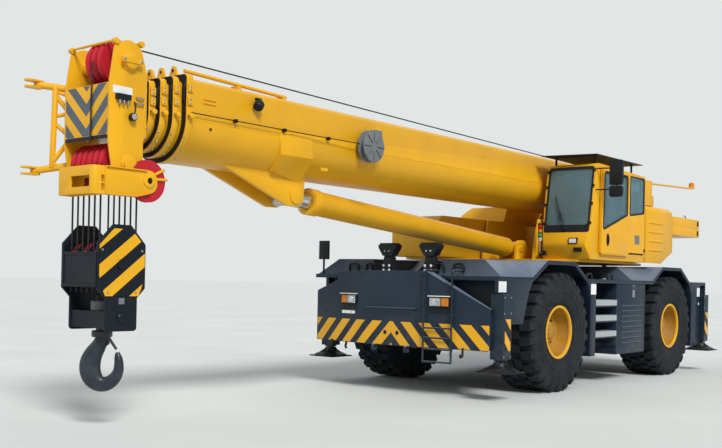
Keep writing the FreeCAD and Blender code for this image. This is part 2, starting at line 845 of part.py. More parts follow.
def build_front_panel():
    shell = nose_shell()
    parts = [shell]
    for y in (-PANEL_RIB_Y, PANEL_RIB_Y):
        parts.append(box(FRAME_FRONT_X + FIT, NOSE_X - 10, y - 20, y + 20, 1000, 1680))
    for side in (-1, 1):
        y = side * TOW_HOOK_Y
        low, high = TOW_HOOK_Z - 50, TOW_HOOK_Z + 50
        hook = slab(
            ((NOSE_X - 30, high), (NOSE_X + 60, high, 30), (NOSE_X + 60, low, 30), (NOSE_X - 30, low)),
            "xz",
            y - 25,
            y + 25,
        )
        eye = V(NOSE_X + 15, y, TOW_HOOK_Z)
        hook = hook.cut(bar(eye - V(0, 30, 0), eye + V(0, 30, 0), 24))
        parts.append(hook)
    save("front_panel", [fused(parts)])


def build_boom_rest():
    posts = []
    for side in (-1, 1):
        y = side * REST_Y
        foot = slab(
            (
                # y, z
                (y - REST_FOOT_HALF, FRAME_TOP + FIT),
                (y - REST_FOOT_HALF, REST_FOOT_TOP - 200),
                (y - REST_POST_HALF, REST_FOOT_TOP),
                (y + REST_POST_HALF, REST_FOOT_TOP),
                (y + REST_FOOT_HALF, REST_FOOT_TOP - 200),
                (y + REST_FOOT_HALF, FRAME_TOP + FIT),
            ),
            "yz",
            REST_X - 60,
            REST_X + 60,
        )
        half = REST_POST_HALF
        cap_low = REST_TOP - REST_CAP_DEPTH
        post = box(REST_X - 45, REST_X + 45, y - half, y + half, REST_FOOT_TOP - 10, cap_low)
        cap = box(REST_X - 80, REST_X + 80, y - REST_CAP_HALF, y + REST_CAP_HALF, cap_low, REST_TOP)
        posts.append(fused([foot, post, cap]))
    save("boom_rest", posts)
    seat = MIRROR_POST + V(0, 0, DECK_Z + FIT)
    x, y = MIRROR_POST.x, MIRROR_POST.y
    mirror = fused(
        [
            bar(seat, MIRROR_POST + V(0, 0, MIRROR_TOP), 16),
            box(x - 20, x + 10, y - 100, y + 100, MIRROR_BOTTOM, MIRROR_TOP),
            bar(seat, MIRROR_POST + V(0, 0, DECK_Z + 12), 24),
        ]
    )
    save("carrier_mirror", [mirror])


def build_outriggers():
    for name, beam_x, side in OUTRIGGERS:
        half = BEAM_WIDTH / 2
        top = BEAM_Z + BEAM_HEIGHT
        outer = box(beam_x - half, beam_x + half, -BEAM_INNER_END, BEAM_OUTER_END, BEAM_Z, top)
        inner = box(
            beam_x - half + BEAM_WALL,
            beam_x + half - BEAM_WALL,
            -BEAM_INNER_END - 1,
            BEAM_OUTER_END - 60,
            BEAM_Z + BEAM_WALL,
            top - BEAM_WALL,
        )
        jack_low = V(beam_x, JACK_Y, JACK_TUBE_BOTTOM)
        jack_high = V(beam_x, JACK_Y, JACK_TUBE_TOP)
        bore = JACK_ROD_RADIUS + RUNNING
        tube = bar(jack_low, jack_high, JACK_TUBE_RADIUS)
        beam = fused([outer.cut(inner), tube])
        beam = beam.cut(bar(jack_low - V(0, 0, 1), jack_high - V(0, 0, 60), bore))
        foot = V(beam_x, JACK_Y, FLOAT_BOTTOM)
        float_disc = turned(
            (
                (0, 0),
                (FLOAT_RADIUS - 30, 0),
                (FLOAT_RADIUS, 18),
                (FLOAT_RADIUS, 30),
                (FLOAT_RADIUS - 60, FLOAT_THICKNESS),
                (110, FLOAT_THICKNESS + 30),
                (85, FLOAT_THICKNESS + 90),
                (0, FLOAT_THICKNESS + 90),
            ),
            foot,
            "z",
        )
        jack = fused([float_disc, bar(foot + V(0, 0, 30), jack_high - V(0, 0, 65), JACK_ROD_RADIUS)])
        if side < 0:
            beam = flipped(beam)
            jack = flipped(jack)
        save("beam_" + name, [beam])
        save("jack_" + name, [jack])


# Superstructure

def build_turntable():
    base = TURRET_BASE_Z
    deck = base + TURRET_BASE_SHEET
    plan = (
        # x, y
        (-1900, -560),
        (-1900, 560),
        (-2050, 1280),
        (-4200, 1280),
        (-5150, 1000),
        (-5150, -1400),
        (-3900, -1500),
        (-1000, -1500),
        (-700, -1200),
        (-700, -620),
    )
    parts = [
        slab(plan, "xy", base, deck),
        bar(V(SLEW_X, 0, RING_SPLIT + FIT), V(SLEW_X, 0, base), RING_RADIUS - 40),
    ]
    plate = (
        # x, z, corner radius
        (-1880, base),
        (-1960, 2450, 80),
        (-2060, 2740),
        (-3700, 2780),
        (-4600, 3500, 60),
        (-5100, 3500, 60),
        (-5450, 3200),
        (-5900, 3010),
        (AUX_DRUM.x + 120, AUX_DRUM.z + 140, 60),
        (AUX_DRUM.x - 120, AUX_DRUM.z + 140, 80),
        (AUX_DRUM.x - 120, AUX_DRUM.z - 150, 60),
        (WEIGHT_SLAB_X + FIT, WEIGHT_TOP + 20),
        (WEIGHT_SLAB_X + FIT, 2310),
        (-5300, 2310),
        (-5150, base),
    )
    for side in (-1, 1):
        low, high = sorted((side * TURRET_PLATE_Y, side * (TURRET_PLATE_Y + TURRET_PLATE)))
        parts.append(slab(plate, "xz", low, high))
        boss = V(0, side * (TURRET_PLATE_Y + 45), 0)
        seat = V(0, side * TURRET_PLATE_Y, 0)
        parts.append(bar(BOOM_PIVOT + seat, BOOM_PIVOT + boss, BOOM_BOSS_RADIUS))
        ear_low, ear_high = sorted((side * EAR_LOW_Y, side * EAR_HIGH_Y))
        parts.append(
            slab(
                (
                    (CYLINDER_BASE.x + 145, base),
                    (CYLINDER_BASE.x + 145, CYLINDER_BASE.z + 145, 130),
                    (CYLINDER_BASE.x - 145, CYLINDER_BASE.z + 145, 130),
                    (CYLINDER_BASE.x - 420, deck),
                    (CYLINDER_BASE.x - 420, base),
                ),
                "xz",
                ear_low,
                ear_high,
            )
        )
    inner = TURRET_PLATE_Y + 5
    tail_x, tail_z = WEIGHT_SLAB_X + 30, 2310
    parts.append(box(tail_x, tail_x + TIE_SHEET, -inner, inner, tail_z + 20, tail_z + 330))
    parts.append(box(tail_x, -5150, -inner, inner, tail_z, tail_z + TIE_SHEET))
    parts.append(box(-3420, -3420 + TIE_SHEET, -inner, inner, deck, 2700))
    turntable = fused(parts)
    reach = V(0, 800, 0)
    cuts = [
        bar(BOOM_PIVOT - reach, BOOM_PIVOT + reach, BOOM_PIN_RADIUS + RUNNING),
        bar(V(SLEW_X, 0, 1800), V(SLEW_X, 0, deck + 1), RING_RADIUS - 300),
        bar(CYLINDER_BASE - V(0, 200, 0), CYLINDER_BASE + V(0, 200, 0), CYLINDER_PIN_RADIUS + RUNNING),
    ]
    for drum in (MAIN_DRUM, AUX_DRUM):
        cuts.append(bar(drum - reach, drum + reach, DRUM_SHAFT_RADIUS + RUNNING))
    save("turntable", [turntable.cut(cuts)])


def build_winches():
    half = DRUM_HALF
    outer = DRUM_HALF + DRUM_FLANGE
    shaft = DRUM_SHAFT_RADIUS
    journal = TURRET_PLATE_Y + TURRET_PLATE + 20
    for name, centre, flange in DRUMS:
        profile = (
            # radius, y
            (0, -journal),
            (shaft, -journal),
            (shaft, -outer),
            (flange, -outer),
            (flange, -half),
            (flange - DRUM_DEPTH, -half),
            (flange - DRUM_DEPTH, half),
            (flange, half),
            (flange, outer),
            (shaft, outer),
            (shaft, journal),
            (0, journal),
        )
        save(name, [turned(profile, centre, "y")])


# Cab: outer form is the side view crossed with a plan whose front corners are round

def cab_form(inset):
    side = (
        # x, z, corner radius
        (-1935 - inset, 2310, 160),
        (-2020 - inset, 2520),
        (ROOF_FRONT_X - inset, CAB_ROOF_Z - inset, 70),
        (CAB_REAR_X + inset, CAB_ROOF_Z - inset - ROOF_FALL, 90),
        (CAB_REAR_X + inset, CAB_FLOOR_Z + inset),
        (-2040, CAB_FLOOR_Z + inset),
    )
    plan = (
        (-1880 - inset, CAB_RIGHT_Y + inset, 240),
        (-1880 - inset, CAB_LEFT_Y - inset, 240),
        (CAB_REAR_X + inset, CAB_LEFT_Y - inset, 60),
        (CAB_REAR_X + inset, CAB_RIGHT_Y + inset, 60),
    )
    across = slab(side, "xz", CAB_RIGHT_Y - 10, CAB_LEFT_Y + 10)
    return across.common(slab(plan, "xy", CAB_FLOOR_Z - 10, CAB_ROOF_Z + 10))


# Window and door openings in the cab's sides, seen from the left: x and z of each corner
QUARTER_WINDOW = ((-3510, 2870, 40), (-4100, 2940, 40), (-4100, 3560, 60), (-3510, 3580, 60))
DOOR_OPENING = (
    (DOOR_FRONT_X - 20, 2200, 40),
    (DOOR_FRONT_X - 40, 3560, 60),
    (DOOR_REAR_X + 20, 3560, 60),
    (DOOR_REAR_X + 20, 2200, 40),
)
DOOR_WINDOW = ((-2360, 2560, 40), (-2400, 3530, 50), (-3290, 3530, 50), (-3290, 2860, 40))
BOOM_SIDE_WINDOW = ((-2330, 2700, 40), (-2400, 3560, 60), (-4080, 3560, 60), (-4080, 2880, 40))
WINDSCREEN = ((660, 2560, 60), (660, 3570, 60), (1440, 3570, 60), (1440, 2560, 60))
REAR_WINDOW = ((700, 2900, 50), (700, 3530, 50), (1400, 3530, 50), (1400, 2900, 50))


def build_cab():
    shell = cab_form(0).cut(cab_form(CAB_WALL))
    cuts = [
        slab(WINDSCREEN, "yz", -2400, -1800),
        slab(REAR_WINDOW, "yz", CAB_REAR_X - 10, CAB_REAR_X + CAB_WALL + 40),
        slab(QUARTER_WINDOW, "xz", CAB_LEFT_Y - CAB_WALL - 10, CAB_LEFT_Y + 10),
        slab(DOOR_OPENING, "xz", CAB_LEFT_Y - CAB_WALL - 10, CAB_LEFT_Y + 10),
        slab(BOOM_SIDE_WINDOW, "xz", CAB_RIGHT_Y - 10, CAB_RIGHT_Y + CAB_WALL + 10),
    ]
    shell = shell.cut(cuts)
    runners = []
    for rear_x, z in ((DOOR_REAR_X - DOOR_TRAVEL, 2160), (CAB_REAR_X + 90, 3565)):
        runners.append(
            box(rear_x, DOOR_FRONT_X - 60, CAB_LEFT_Y - 5, CAB_LEFT_Y + CLEAR - FIT, z, z + 20)
        )
    save("cab_shell", [fused([shell] + runners)])
    save("cab_glass", cab_panes())
    build_door()
    build_cab_inside()
    guard = slab(
        ((-1940, CAB_RIGHT_Y), (-2130, 1530), (-3940, 1530), (-3940, CAB_RIGHT_Y)),
        "xy",
        GUARD_Z - GUARD_SHEET,
        GUARD_Z,
    )
    legs = [guard]
    half = GUARD_LEG / 2
    for x, y in ((-2330, 680), (-2330, 1420), (-3700, 680), (-3700, 1420)):
        foot = CAB_ROOF_Z - ROOF_FALL * (ROOF_FRONT_X - x) / (ROOF_FRONT_X - CAB_REAR_X)
        legs.append(box(x - half, x + half, y - half, y + half, foot + 3 * FIT, GUARD_Z - GUARD_SHEET / 2))
    save("roof_guard", [fused(legs)])


def cab_panes():
    """Flat panes seated in the window openings, a little inside the outer face."""
    gap = FIT
    front = cab_form(PANE_DEPTH).cut(cab_form(PANE_DEPTH + PANE))
    frame = slab(inset_corners(WINDSCREEN, gap), "yz", -2400, -1800)
    panes = [front.common(frame)]
    for window, y in (
        (QUARTER_WINDOW, CAB_LEFT_Y - PANE_DEPTH - PANE),
        (BOOM_SIDE_WINDOW, CAB_RIGHT_Y + PANE_DEPTH),
    ):
        panes.append(slab(inset_corners(window, gap), "xz", y, y + PANE))
    rear_x = CAB_REAR_X + PANE_DEPTH
    panes.append(slab(inset_corners(REAR_WINDOW, gap), "yz", rear_x, rear_x + PANE))
    return panes


def inset_corners(corners, gap):
    """Corners drawn towards their middle by gap along each axis."""
    middle_a = sum(corner[0] for corner in corners) / len(corners)
    middle_b = sum(corner[1] for corner in corners) / len(corners)
    drawn = []
    for a, b, radius in corners:
        a += gap if a < middle_a else -gap
        b += gap if b < middle_b else -gap
        drawn.append((a, b, radius - gap))
    return drawn


def build_door():
    low = CAB_LEFT_Y + CLEAR
    high = low + CAB_WALL
    panel = slab(
        (
            (DOOR_FRONT_X, 2150, 50),
            (DOOR_FRONT_X - 40, 3610, 60),
            (DOOR_REAR_X, 3610, 60),
            (DOOR_REAR_X, 2150, 50),
        ),
        "xz",
        low,
        high,
    )
    panel = panel.cut(slab(DOOR_WINDOW, "xz", low - 1, high + 1))
    save("cab_door", [panel])
    pane_y = low + (CAB_WALL - PANE) / 2
    save("door_glass", [slab(inset_corners(DOOR_WINDOW, FIT), "xz", pane_y, pane_y + PANE)])


def build_cab_inside():
    middle = (CAB_RIGHT_Y + CAB_LEFT_Y) / 2
    floor = CAB_FLOOR_Z + CAB_WALL + FIT
    x = SEAT_X
    cushion = ((x - 260, 2480, 40), (x - 260, 2600, 40), (x + 280, 2620, 60), (x + 280, 2490, 40))
    back = ((x - 200, 2560), (x - 330, 3250, 60), (x - 450, 3240, 60), (x - 330, 2560))
    seat = [
        slab(cushion, "xz", middle - 250, middle + 250),
        slab(back, "xz", middle - 240, middle + 240),
    ]
    seat_boxes = (
        # rear x, front x, right y, left y, bottom and top
        (-200, 200, -200, 200, floor, 2500),
        (-150, 250, -340, -265, 2450, 2740),
        (-150, 250, 265, 340, 2450, 2740),
        (-100, 100, -330, 330, 2440, 2490),
    )
    for rear, front, right, left, low, high in seat_boxes:
        seat.append(box(x + rear, x + front, middle + right, middle + left, low, high))
    console = slab(
        ((-2180, floor), (-2300, 2560, 40), (-2450, 2620, 40), (-2500, 2540), (-2330, floor)),
        "xz",
        middle - 160,
        middle + 160,
    )
    column_low = V(-2380, middle, 2560)
    column_high = V(-2560, middle, 2840)
    wheel = ring_sweep(column_high, column_high - column_low, WHEEL_RING_RADIUS, 16, 360)
    spoke_reach = V(0, WHEEL_RING_RADIUS - 5, 0)
    spoke = bar(column_high - spoke_reach, column_high + spoke_reach, 12)
    controls = fused([console, bar(column_low, column_high, 30), wheel, spoke])
    save("cab_interior", [fused(seat), controls])


def build_cab_mirrors():
    x, y = CAB_MIRROR.x, CAB_MIRROR.y
    half = CAB_MIRROR_HALF
    parts = [bar(V(x, y, 3090), V(x, y, 3690), CAB_MIRROR_ARM)]
    for z in (3210, 3560):
        parts.append(bar(V(x + 70, CAB_LEFT_Y + 3, z), V(x, y, z), CAB_MIRROR_ARM))
    for low, high in ((3280, 3690), (3085, 3265)):
        face = ((y - half, low, 35), (y + half, low, 35), (y + half, high, 35), (y - half, high, 35))
        parts.append(slab(face, "yz", x - 30, x + 35))
    save("cab_mirrors", [fused(parts)])


def left_cover(inset):
    front_x = CAB_REAR_X - 10 - inset
    foot = TURRET_BASE_Z + TURRET_BASE_SHEET + FIT - inset
    side_view = slab(
        (
            (front_x, foot),
            (front_x, COVER_TOP - inset),
            (COVER_REAR_X + 60 + inset, COVER_TOP - 10 - inset, 120),
            (COVER_REAR_X + inset, 2900),
            (COVER_REAR_X + inset, 2290 - inset),
            (-4900, foot),
        ),
        "xz",
        CAB_RIGHT_Y + inset,
        CAB_LEFT_Y - inset,
    )
    crown = slab(
        (
            (CAB_RIGHT_Y + inset, 2000),
            (CAB_RIGHT_Y + inset, COVER_TOP - inset, 60),
            (CAB_LEFT_Y - inset, COVER_TOP - inset, 110),
            (CAB_LEFT_Y - inset, 2000),
        ),
        "yz",
        COVER_REAR_X - 10,
        front_x + 10,
    )
    return side_view.common(crown)


def right_cover(inset):
    foot = TURRET_BASE_Z + TURRET_BASE_SHEET + FIT - inset
    side_view = slab(
        (
            (-660 - inset, foot),
            (-650 - inset, 2660, 90),
            (-760 - inset, 2750 - inset, 90),
            (-2700 - inset, 2750 - inset),
            (-2850 - inset, 3050 - inset, 60),
            (COVER_REAR_X + 40 + inset, 3050 - inset, 120),
            (COVER_REAR_X + inset, 2290 - inset),
            (-4900, foot),
        ),
        "xz",
        -1550 + inset,
        -580 - inset,
    )
    crown = slab(
        (
            (-1550 + inset, 2000),
            (-1550 + inset, 2900),
            (-1350, 3060 - inset, 90),
            (-580 - inset, 3060 - inset, 40),
            (-580 - inset, 2000),
        ),
        "yz",
        COVER_REAR_X - 10,
        -600,
    )
    return side_view.common(crown)


def build_covers():
    left = left_cover(0).cut(left_cover(PLATE))
    right = right_cover(0).cut(right_cover(PLATE))
    save("side_covers", [left, right])


def build_counterweight():
    layers = []
    half_height = (WEIGHT_TOP - WEIGHT_BOTTOM) / 2
    for layer in (0, 1):
        low = WEIGHT_BOTTOM + layer * (half_height + FIT / 2)
        high = low + half_height - FIT / 2
        plan = (
            (WEIGHT_FRONT_X, WEIGHT_ARM_Y),
            (WEIGHT_FRONT_X, WEIGHT_HALF_WIDTH, 20),
            (-HALF_LENGTH, WEIGHT_HALF_WIDTH, 60),
            (-HALF_LENGTH, -WEIGHT_HALF_WIDTH, 60),
            (WEIGHT_FRONT_X, -WEIGHT_HALF_WIDTH, 20),
            (WEIGHT_FRONT_X, -WEIGHT_ARM_Y),
            (WEIGHT_SLAB_X, -WEIGHT_ARM_Y, 40),
            (WEIGHT_SLAB_X, WEIGHT_ARM_Y, 40),
        )
        layers.append(slab(plan, "xy", low, high))
    save("counterweight", layers)
    foot = COVER_TOP + FIT
    post = box(-4550, -4240, 1330, 1450, foot, BEACON_POST_TOP)
    stub = box(-4650, -4550, 1350, 1440, foot, BEACON_POST_TOP - 270)
    arm = bar(V(-4550, 1400, BEACON_POST_TOP - 40), BEACON, 18)
    lens = ((0, 0), (62, 0), (62, 25), (52, 30), (46, 100), (30, 115), (0, 115))
    beacon = turned(lens, BEACON, "z")
    save("beacon_arm", [fused([post, stub, arm, beacon])])


# Boom

def section_size(index):
    width = BASE_WIDTH - index * BOOM_STEP - (10 if index else 0)
    height = BASE_HEIGHT - index * BOOM_STEP - (10 if index else 0)
    return width, height


def boom_profile(width, height, grow=0.0, low_grow=0.0):
    """Flat-topped section with a deep round bottom, seen along the boom."""
    half = width / 2 + grow
    top = BOOM_AXIS_Z + height / 2 + grow
    bottom = BOOM_AXIS_Z - height / 2 - low_grow
    return (
        (-half, top, BOOM_TOP_RADIUS),
        (half, top, BOOM_TOP_RADIUS),
        (half, bottom, half - 1),
        (-half, bottom, half - 1),
    )


def section_tube(index, rear_x, front_x):
    """One telescoping tube with its front collar, whose pads ride on the next tube."""
    width, height = section_size(index)
    wall = BOOM_WALL
    name, end_x, collar = SECTIONS[index]
    outer = slab(boom_profile(width, height), "yz", rear_x, front_x)
    ring = slab(boom_profile(width, height, COLLAR_WIDTH, 13), "yz", end_x - collar, end_x)
    inner = slab(boom_profile(width - 2 * wall, height - 2 * wall), "yz", rear_x - 1, end_x - 30)
    parts = [outer]
    half = width / 2
    top = BOOM_AXIS_Z + height / 2
    has_collar = index + 1 < len(SECTIONS)
    if has_collar:
        parts.append(ring)
    for side in (-1, 1) if has_collar else ():
        y = side * half * 0.45
        parts.append(
            slab(
                (
                    (y - 85, top),
                    (y - 60, top + 70),
                    (y - 25, top + 150, 12),
                    (y + 25, top + 150, 12),
                    (y + 60, top + 70),
                    (y + 85, top),
                ),
                "yz",
                end_x - collar / 2 - 15,
                end_x - collar / 2 + 15,
            )
        )
    tube = fused(parts).cut(inner)
    if index + 1 < len(SECTIONS):
        next_width, next_height = section_size(index + 1)
        mouth = slab(
            boom_profile(next_width, next_height, PAD_GAP, PAD_GAP), "yz", end_x - 100, end_x + 1
        )
        tube = tube.cut(mouth)
    return tube


def rear_pads(index, rear_x):
    """Blocks on the tube's tail that ride inside the tube around it."""
    width, height = section_size(index)
    outer_width, outer_height = section_size(index - 1)
    outer_top = BOOM_AXIS_Z + outer_height / 2 - BOOM_WALL - PAD_GAP
    outer_half = outer_width / 2 - BOOM_WALL - PAD_GAP
    pads = []
    for side in (-1, 1):
        y = side * width * 0.28
        top = BOOM_AXIS_Z + height / 2
        pads.append(box(rear_x, rear_x + 160, y - 60, y + 60, top - 2, outer_top))
        low, high = sorted((side * (width / 2 - 2), side * outer_half))
        pads.append(box(rear_x, rear_x + 160, low, high, BOOM_AXIS_Z + 120, BOOM_AXIS_Z + 220))
    return pads


def build_boom():
    for index, (name, end_x, collar) in enumerate(SECTIONS):
        rear_x = BOOM_REAR_X + index * SECTION_REAR_STEP
        tube = section_tube(index, rear_x, end_x)
        if index == 0:
            build_boom_base(tube)
        elif name == "section_5":
            save(name, [fused([tube] + rear_pads(index, rear_x) + [make_head()])])
        else:
            save(name, [fused([tube] + rear_pads(index, rear_x))])


def build_boom_base(tube):
    reach = TURRET_PLATE_Y + TURRET_PLATE + 30
    foot_reach = TURRET_PLATE_Y - FIT
    pivot = BOOM_PIVOT
    parts = [tube]
    for side in (-1, 1):
        low, high = sorted((side * 330, side * foot_reach))
        parts.append(bar(V(pivot.x, low, pivot.z), V(pivot.x, high, pivot.z), BOOM_BOSS_RADIUS + 10))
        pin_low, pin_high = sorted((side * 400, side * reach))
        parts.append(bar(V(pivot.x, pin_low, pivot.z), V(pivot.x, pin_high, pivot.z), BOOM_PIN_RADIUS))
    eye = CYLINDER_EYE
    for side in (-1, 1):
        low, high = sorted((side * EYE_LUG_LOW_Y, side * EYE_LUG_HIGH_Y))
        parts.append(
            slab(
                (
                    (eye.x - 140, eye.z - 140, 130),
                    (eye.x + 150, eye.z - 140, 130),
                    (4900, 2985),
                    (4900, 3100),
                    (eye.x - 170, 3100),
                ),
                "xz",
                low,
                high,
            )
        )
        inner_y, outer_y = side * 200, side * (BASE_WIDTH / 2 + 12)
        gusset = (
            # x, z
            (eye.x - 60, 2860),
            (4100, 2960),
            (4160, 3400),
            (3940, 3420),
            (eye.x, 3400),
            (eye.x - 60, 3100),
        )
        gusset_end = (
            # y, z
            (inner_y, 2860),
            (outer_y, 3150),
            (outer_y, 3430),
            (side * (BASE_WIDTH / 2 - 60), 3430),
            (inner_y, 3100),
        )
        side_low, side_high = sorted((inner_y, outer_y))
        side_form = slab(gusset, "xz", side_low, side_high)
        parts.append(side_form.common(slab(gusset_end, "yz", eye.x - 200, 5000)))
        pin_low, pin_high = sorted((side * 155, side * 230))
        parts.append(bar(V(eye.x, pin_low, eye.z), V(eye.x, pin_high, eye.z), 110))
    shape = fused(parts)
    width, height = section_size(0)
    inner = boom_profile(width - 2 * BOOM_WALL, height - 2 * BOOM_WALL)
    shape = shape.cut(slab(inner, "yz", BOOM_REAR_X - 300, SECTIONS[0][1] - 30))
    save("boom_base", [shape])
    outer, core = REEL_RADIUS, REEL_CORE_RADIUS
    profile = (
        # radius, y
        (0, 0),
        (60, 0),
        (60, 60),
        (outer, 60),
        (outer, 75),
        (core, 80),
        (core, 150),
        (outer, 155),
        (outer, 170),
        (0, 170),
    )
    reel = turned(profile, REEL_CENTRE, "y")
    save("cable_reel", [reel])


def make_head():
    """Sheave head on the innermost section, with its nose bracket and jib lugs."""
    half = HEAD_HALF_WIDTH
    upper = UPPER_SHEAVE_AXIS
    lower = LOWER_SHEAVE_AXIS
    front = HEAD_FRONT_X
    side_view = (
        (HEAD_REAR_X - 20, 3120),
        (HEAD_REAR_X - 20, 3760, 60),
        (HEAD_REAR_X + 60, 4030, 120),
        (upper.x, 4100, 120),
        (front - 60, 4030, 90),
        (front, 3640),
        (front, 3010),
        (front - 70, 2620, 60),
        (HEAD_REAR_X + 10, 2640, 60),
        (HEAD_REAR_X + 20, 3060, 60),
    )
    parts = []
    for side in (-1, 1):
        low, high = sorted((side * half, side * (half - HEAD_PLATE)))
        parts.append(slab(side_view, "xz", low, high))
    parts.append(box(HEAD_REAR_X - 20, HEAD_REAR_X + 10, -half + 5, half - 5, 3120, 3700))
    parts.append(box(front - 20, front, -half + 5, half - 5, 3070, 3620))
    parts.append(box(HEAD_REAR_X, front - 10, -half + 5, half - 5, 3090, 3110))
    parts.append(bar(V(upper.x, -half - 25, upper.z), V(upper.x, half + 25, upper.z), SHEAVE_PIN_RADIUS))
    parts.append(bar(V(lower.x, -half - 25, lower.z), V(lower.x, half, lower.z), SHEAVE_PIN_RADIUS))
    parts += nose_bracket_parts()
    parts += jib_bracket_parts()
    return fused(parts)


def nose_bracket_parts():
    """Low frame ahead of the lower sheaves; its left plate runs back to the single side sheave."""
    low_z, high_z = BRACKET_BOTTOM, BRACKET_TOP
    rear_x = HEAD_FRONT_X + 30
    nose_x = HALF_LENGTH - 60
    left_y = HEAD_HALF_WIDTH + 50
    sheet = BRACKET_PLATE
    right_y = BRACKET_RIGHT_Y
    bar_plan = ((rear_x, right_y), (rear_x, left_y), (nose_x, left_y - 20, 60), (nose_x, right_y, 40))
    front_bar = slab(bar_plan, "xy", low_z, high_z)
    cuts = [
        box(rear_x + sheet, nose_x - sheet, right_y + sheet, left_y - 45, low_z - 1, high_z - sheet),
        box(rear_x - 1, HALF_LENGTH, 40, 370, low_z + 74, high_z - 102),
    ]
    for slot_z in (low_z + 40, low_z + 125):
        cuts.append(box(rear_x + 40, rear_x + 74, left_y - 60, left_y + 1, slot_z, slot_z + 70))
    flange = box(HEAD_FRONT_X - 5, rear_x + 5, right_y, HEAD_HALF_WIDTH, high_z - sheet, high_z)
    side_plate = slab(
        (
            (HEAD_REAR_X - 80, low_z + 60, 60),
            (HEAD_REAR_X - 80, high_z, 60),
            (rear_x + 40, high_z),
            (rear_x + 40, low_z),
            (HEAD_REAR_X + 80, low_z),
        ),
        "xz",
        HEAD_HALF_WIDTH - sheet,
        HEAD_HALF_WIDTH,
    )
    aux = AUX_SHEAVE_AXIS
    sheave_half = SHEAVE_WIDTH / 2 + CLEAR
    outer_low = aux.y + sheave_half
    outer_plate = slab(
        (
            (aux.x - 105, low_z + 70, 105),
            (aux.x - 105, high_z, 105),
            (rear_x + 40, high_z),
            (rear_x + 40, low_z),
            (aux.x + 170, low_z),
        ),
        "xz",
        outer_low,
        outer_low + sheet - 2,
    )
    pin = bar(aux - V(0, 40, 0), aux + V(0, sheave_half + sheet, 0), AUX_PIN_RADIUS)
    web = box(aux.x + 320, rear_x + 40, HEAD_HALF_WIDTH - 10, outer_low + 5, low_z, high_z - sheet)
    return [front_bar.cut(cuts), flange, side_plate, outer_plate, pin, web]


def jib_bracket_parts():
    """Tube frame on the head's right side with two clevises for a folding jib."""
    right = -HEAD_HALF_WIDTH
    top_tip = V(HALF_LENGTH - 140, -760, 3700)
    low_tip = V(HALF_LENGTH - 140, -800, 2760)
    brace_x = HEAD_FRONT_X - 10
    top_root = V(brace_x - 260, right + 5, 3640)
    low_root = V(brace_x - 260, right + 5, 2860)
    parts = [
        bar(top_root, top_tip, 38),
        bar(low_root, low_tip, 38),
        bar(V(brace_x, -640, 2800), V(brace_x, -600, 3680), 32),
        bar(V(brace_x, -630, 2860), V(brace_x - 310, right + 5, 3420), 26),
        bar(V(brace_x, -610, 3600), V(brace_x - 310, right + 5, 3120), 26),
    ]
    for tip in (top_tip, low_tip):
        for rise in (-45, 25):
            parts.append(
                slab(
                    (
                        (tip.x - 60, tip.y - 55, 30),
                        (HALF_LENGTH, tip.y - 55, 50),
                        (HALF_LENGTH, tip.y + 55, 50),
                        (tip.x - 60, tip.y + 55, 30),
                    ),
                    "xy",
                    tip.z + rise,
                    tip.z + rise + 20,
                )
            )
        parts.append(box(tip.x - 60, tip.x + 10, tip.y - 45, tip.y + 45, tip.z - 45, tip.z + 45))
    shape = fused(parts)
    cuts = []
    for tip in (top_tip, low_tip):
        centre = V(HALF_LENGTH - 55, tip.y, tip.z)
        cuts.append(bar(centre - V(0, 0, 80), centre + V(0, 0, 80), 20))
    return [shape.cut(cuts)]


def make_sheave(centre, radius, width, pin_radius):
    bore = pin_radius + RUNNING
    groove = radius - SHEAVE_GROOVE
    profile = (
        # radius, y
        (bore, -width / 2),
        (radius, -width / 2),
        (groove, -6),
        (groove, 6),
        (radius, width / 2),
        (bore, width / 2),
    )
    return turned(profile, centre, "y")


def sheave_group(centre, radius, count):
    """Sheaves side by side on one pin, joined by their hubs."""
    pin = SHEAVE_PIN_RADIUS
    reach = V(0, (count - 1) / 2 * SHEAVE_PITCH, 0)
    parts = [pipe(centre - reach, centre + reach, pin + 45, pin + RUNNING)]
    for index in range(count):
        place = centre - reach + V(0, index * SHEAVE_PITCH, 0)
        parts.append(make_sheave(place, radius, GROUP_SHEAVE_WIDTH, pin))
    return fused(parts)


def build_sheaves():
    save("upper_sheaves", [sheave_group(UPPER_SHEAVE_AXIS, SHEAVE_RADIUS, 3)])
    save("lower_sheaves", [sheave_group(LOWER_SHEAVE_AXIS, SHEAVE_RADIUS, FALL_SHEAVES)])
    aux = make_sheave(AUX_SHEAVE_AXIS + V(0, 3, 0), AUX_SHEAVE_RADIUS, SHEAVE_WIDTH, AUX_PIN_RADIUS)
    save("aux_sheave", [aux])


# Luff cylinder between the turntable's ears and the boom's lug

def build_luff_cylinder():
    base = CYLINDER_BASE
    eye = CYLINDER_EYE
    way = (eye - base).normalize()
    barrel_end = base + way * BARREL_LENGTH
    bore_start = base + way * 300
    rod_start = bore_start + way * 80
    barrel = fused(
        [
            bar(base + way * 235, barrel_end, BARREL_RADIUS),
            bar(barrel_end - way * 170, barrel_end, BARREL_RADIUS + 13),
            bar(base - V(0, 120, 0), base + V(0, 120, 0), 120),
            bar(base, base + way * 260, 105),
            bar(base - V(0, 190, 0), base + V(0, 190, 0), CYLINDER_PIN_RADIUS),
        ]
    )
    save("luff_barrel", [barrel.cut(bar(bore_start, barrel_end + way, LUFF_ROD_RADIUS + RUNNING))])
    eye_reach = V(0, EYE_LUG_LOW_Y - 15, 0)
    eye_ring = bar(eye - eye_reach, eye + eye_reach, LUFF_ROD_RADIUS + 10)
    shank = bar(rod_start, eye - way * 60, LUFF_ROD_RADIUS)
    save("luff_rod", [fused([eye_ring, shank])])


# Hook block, hung on straight falls from the head's lower sheaves

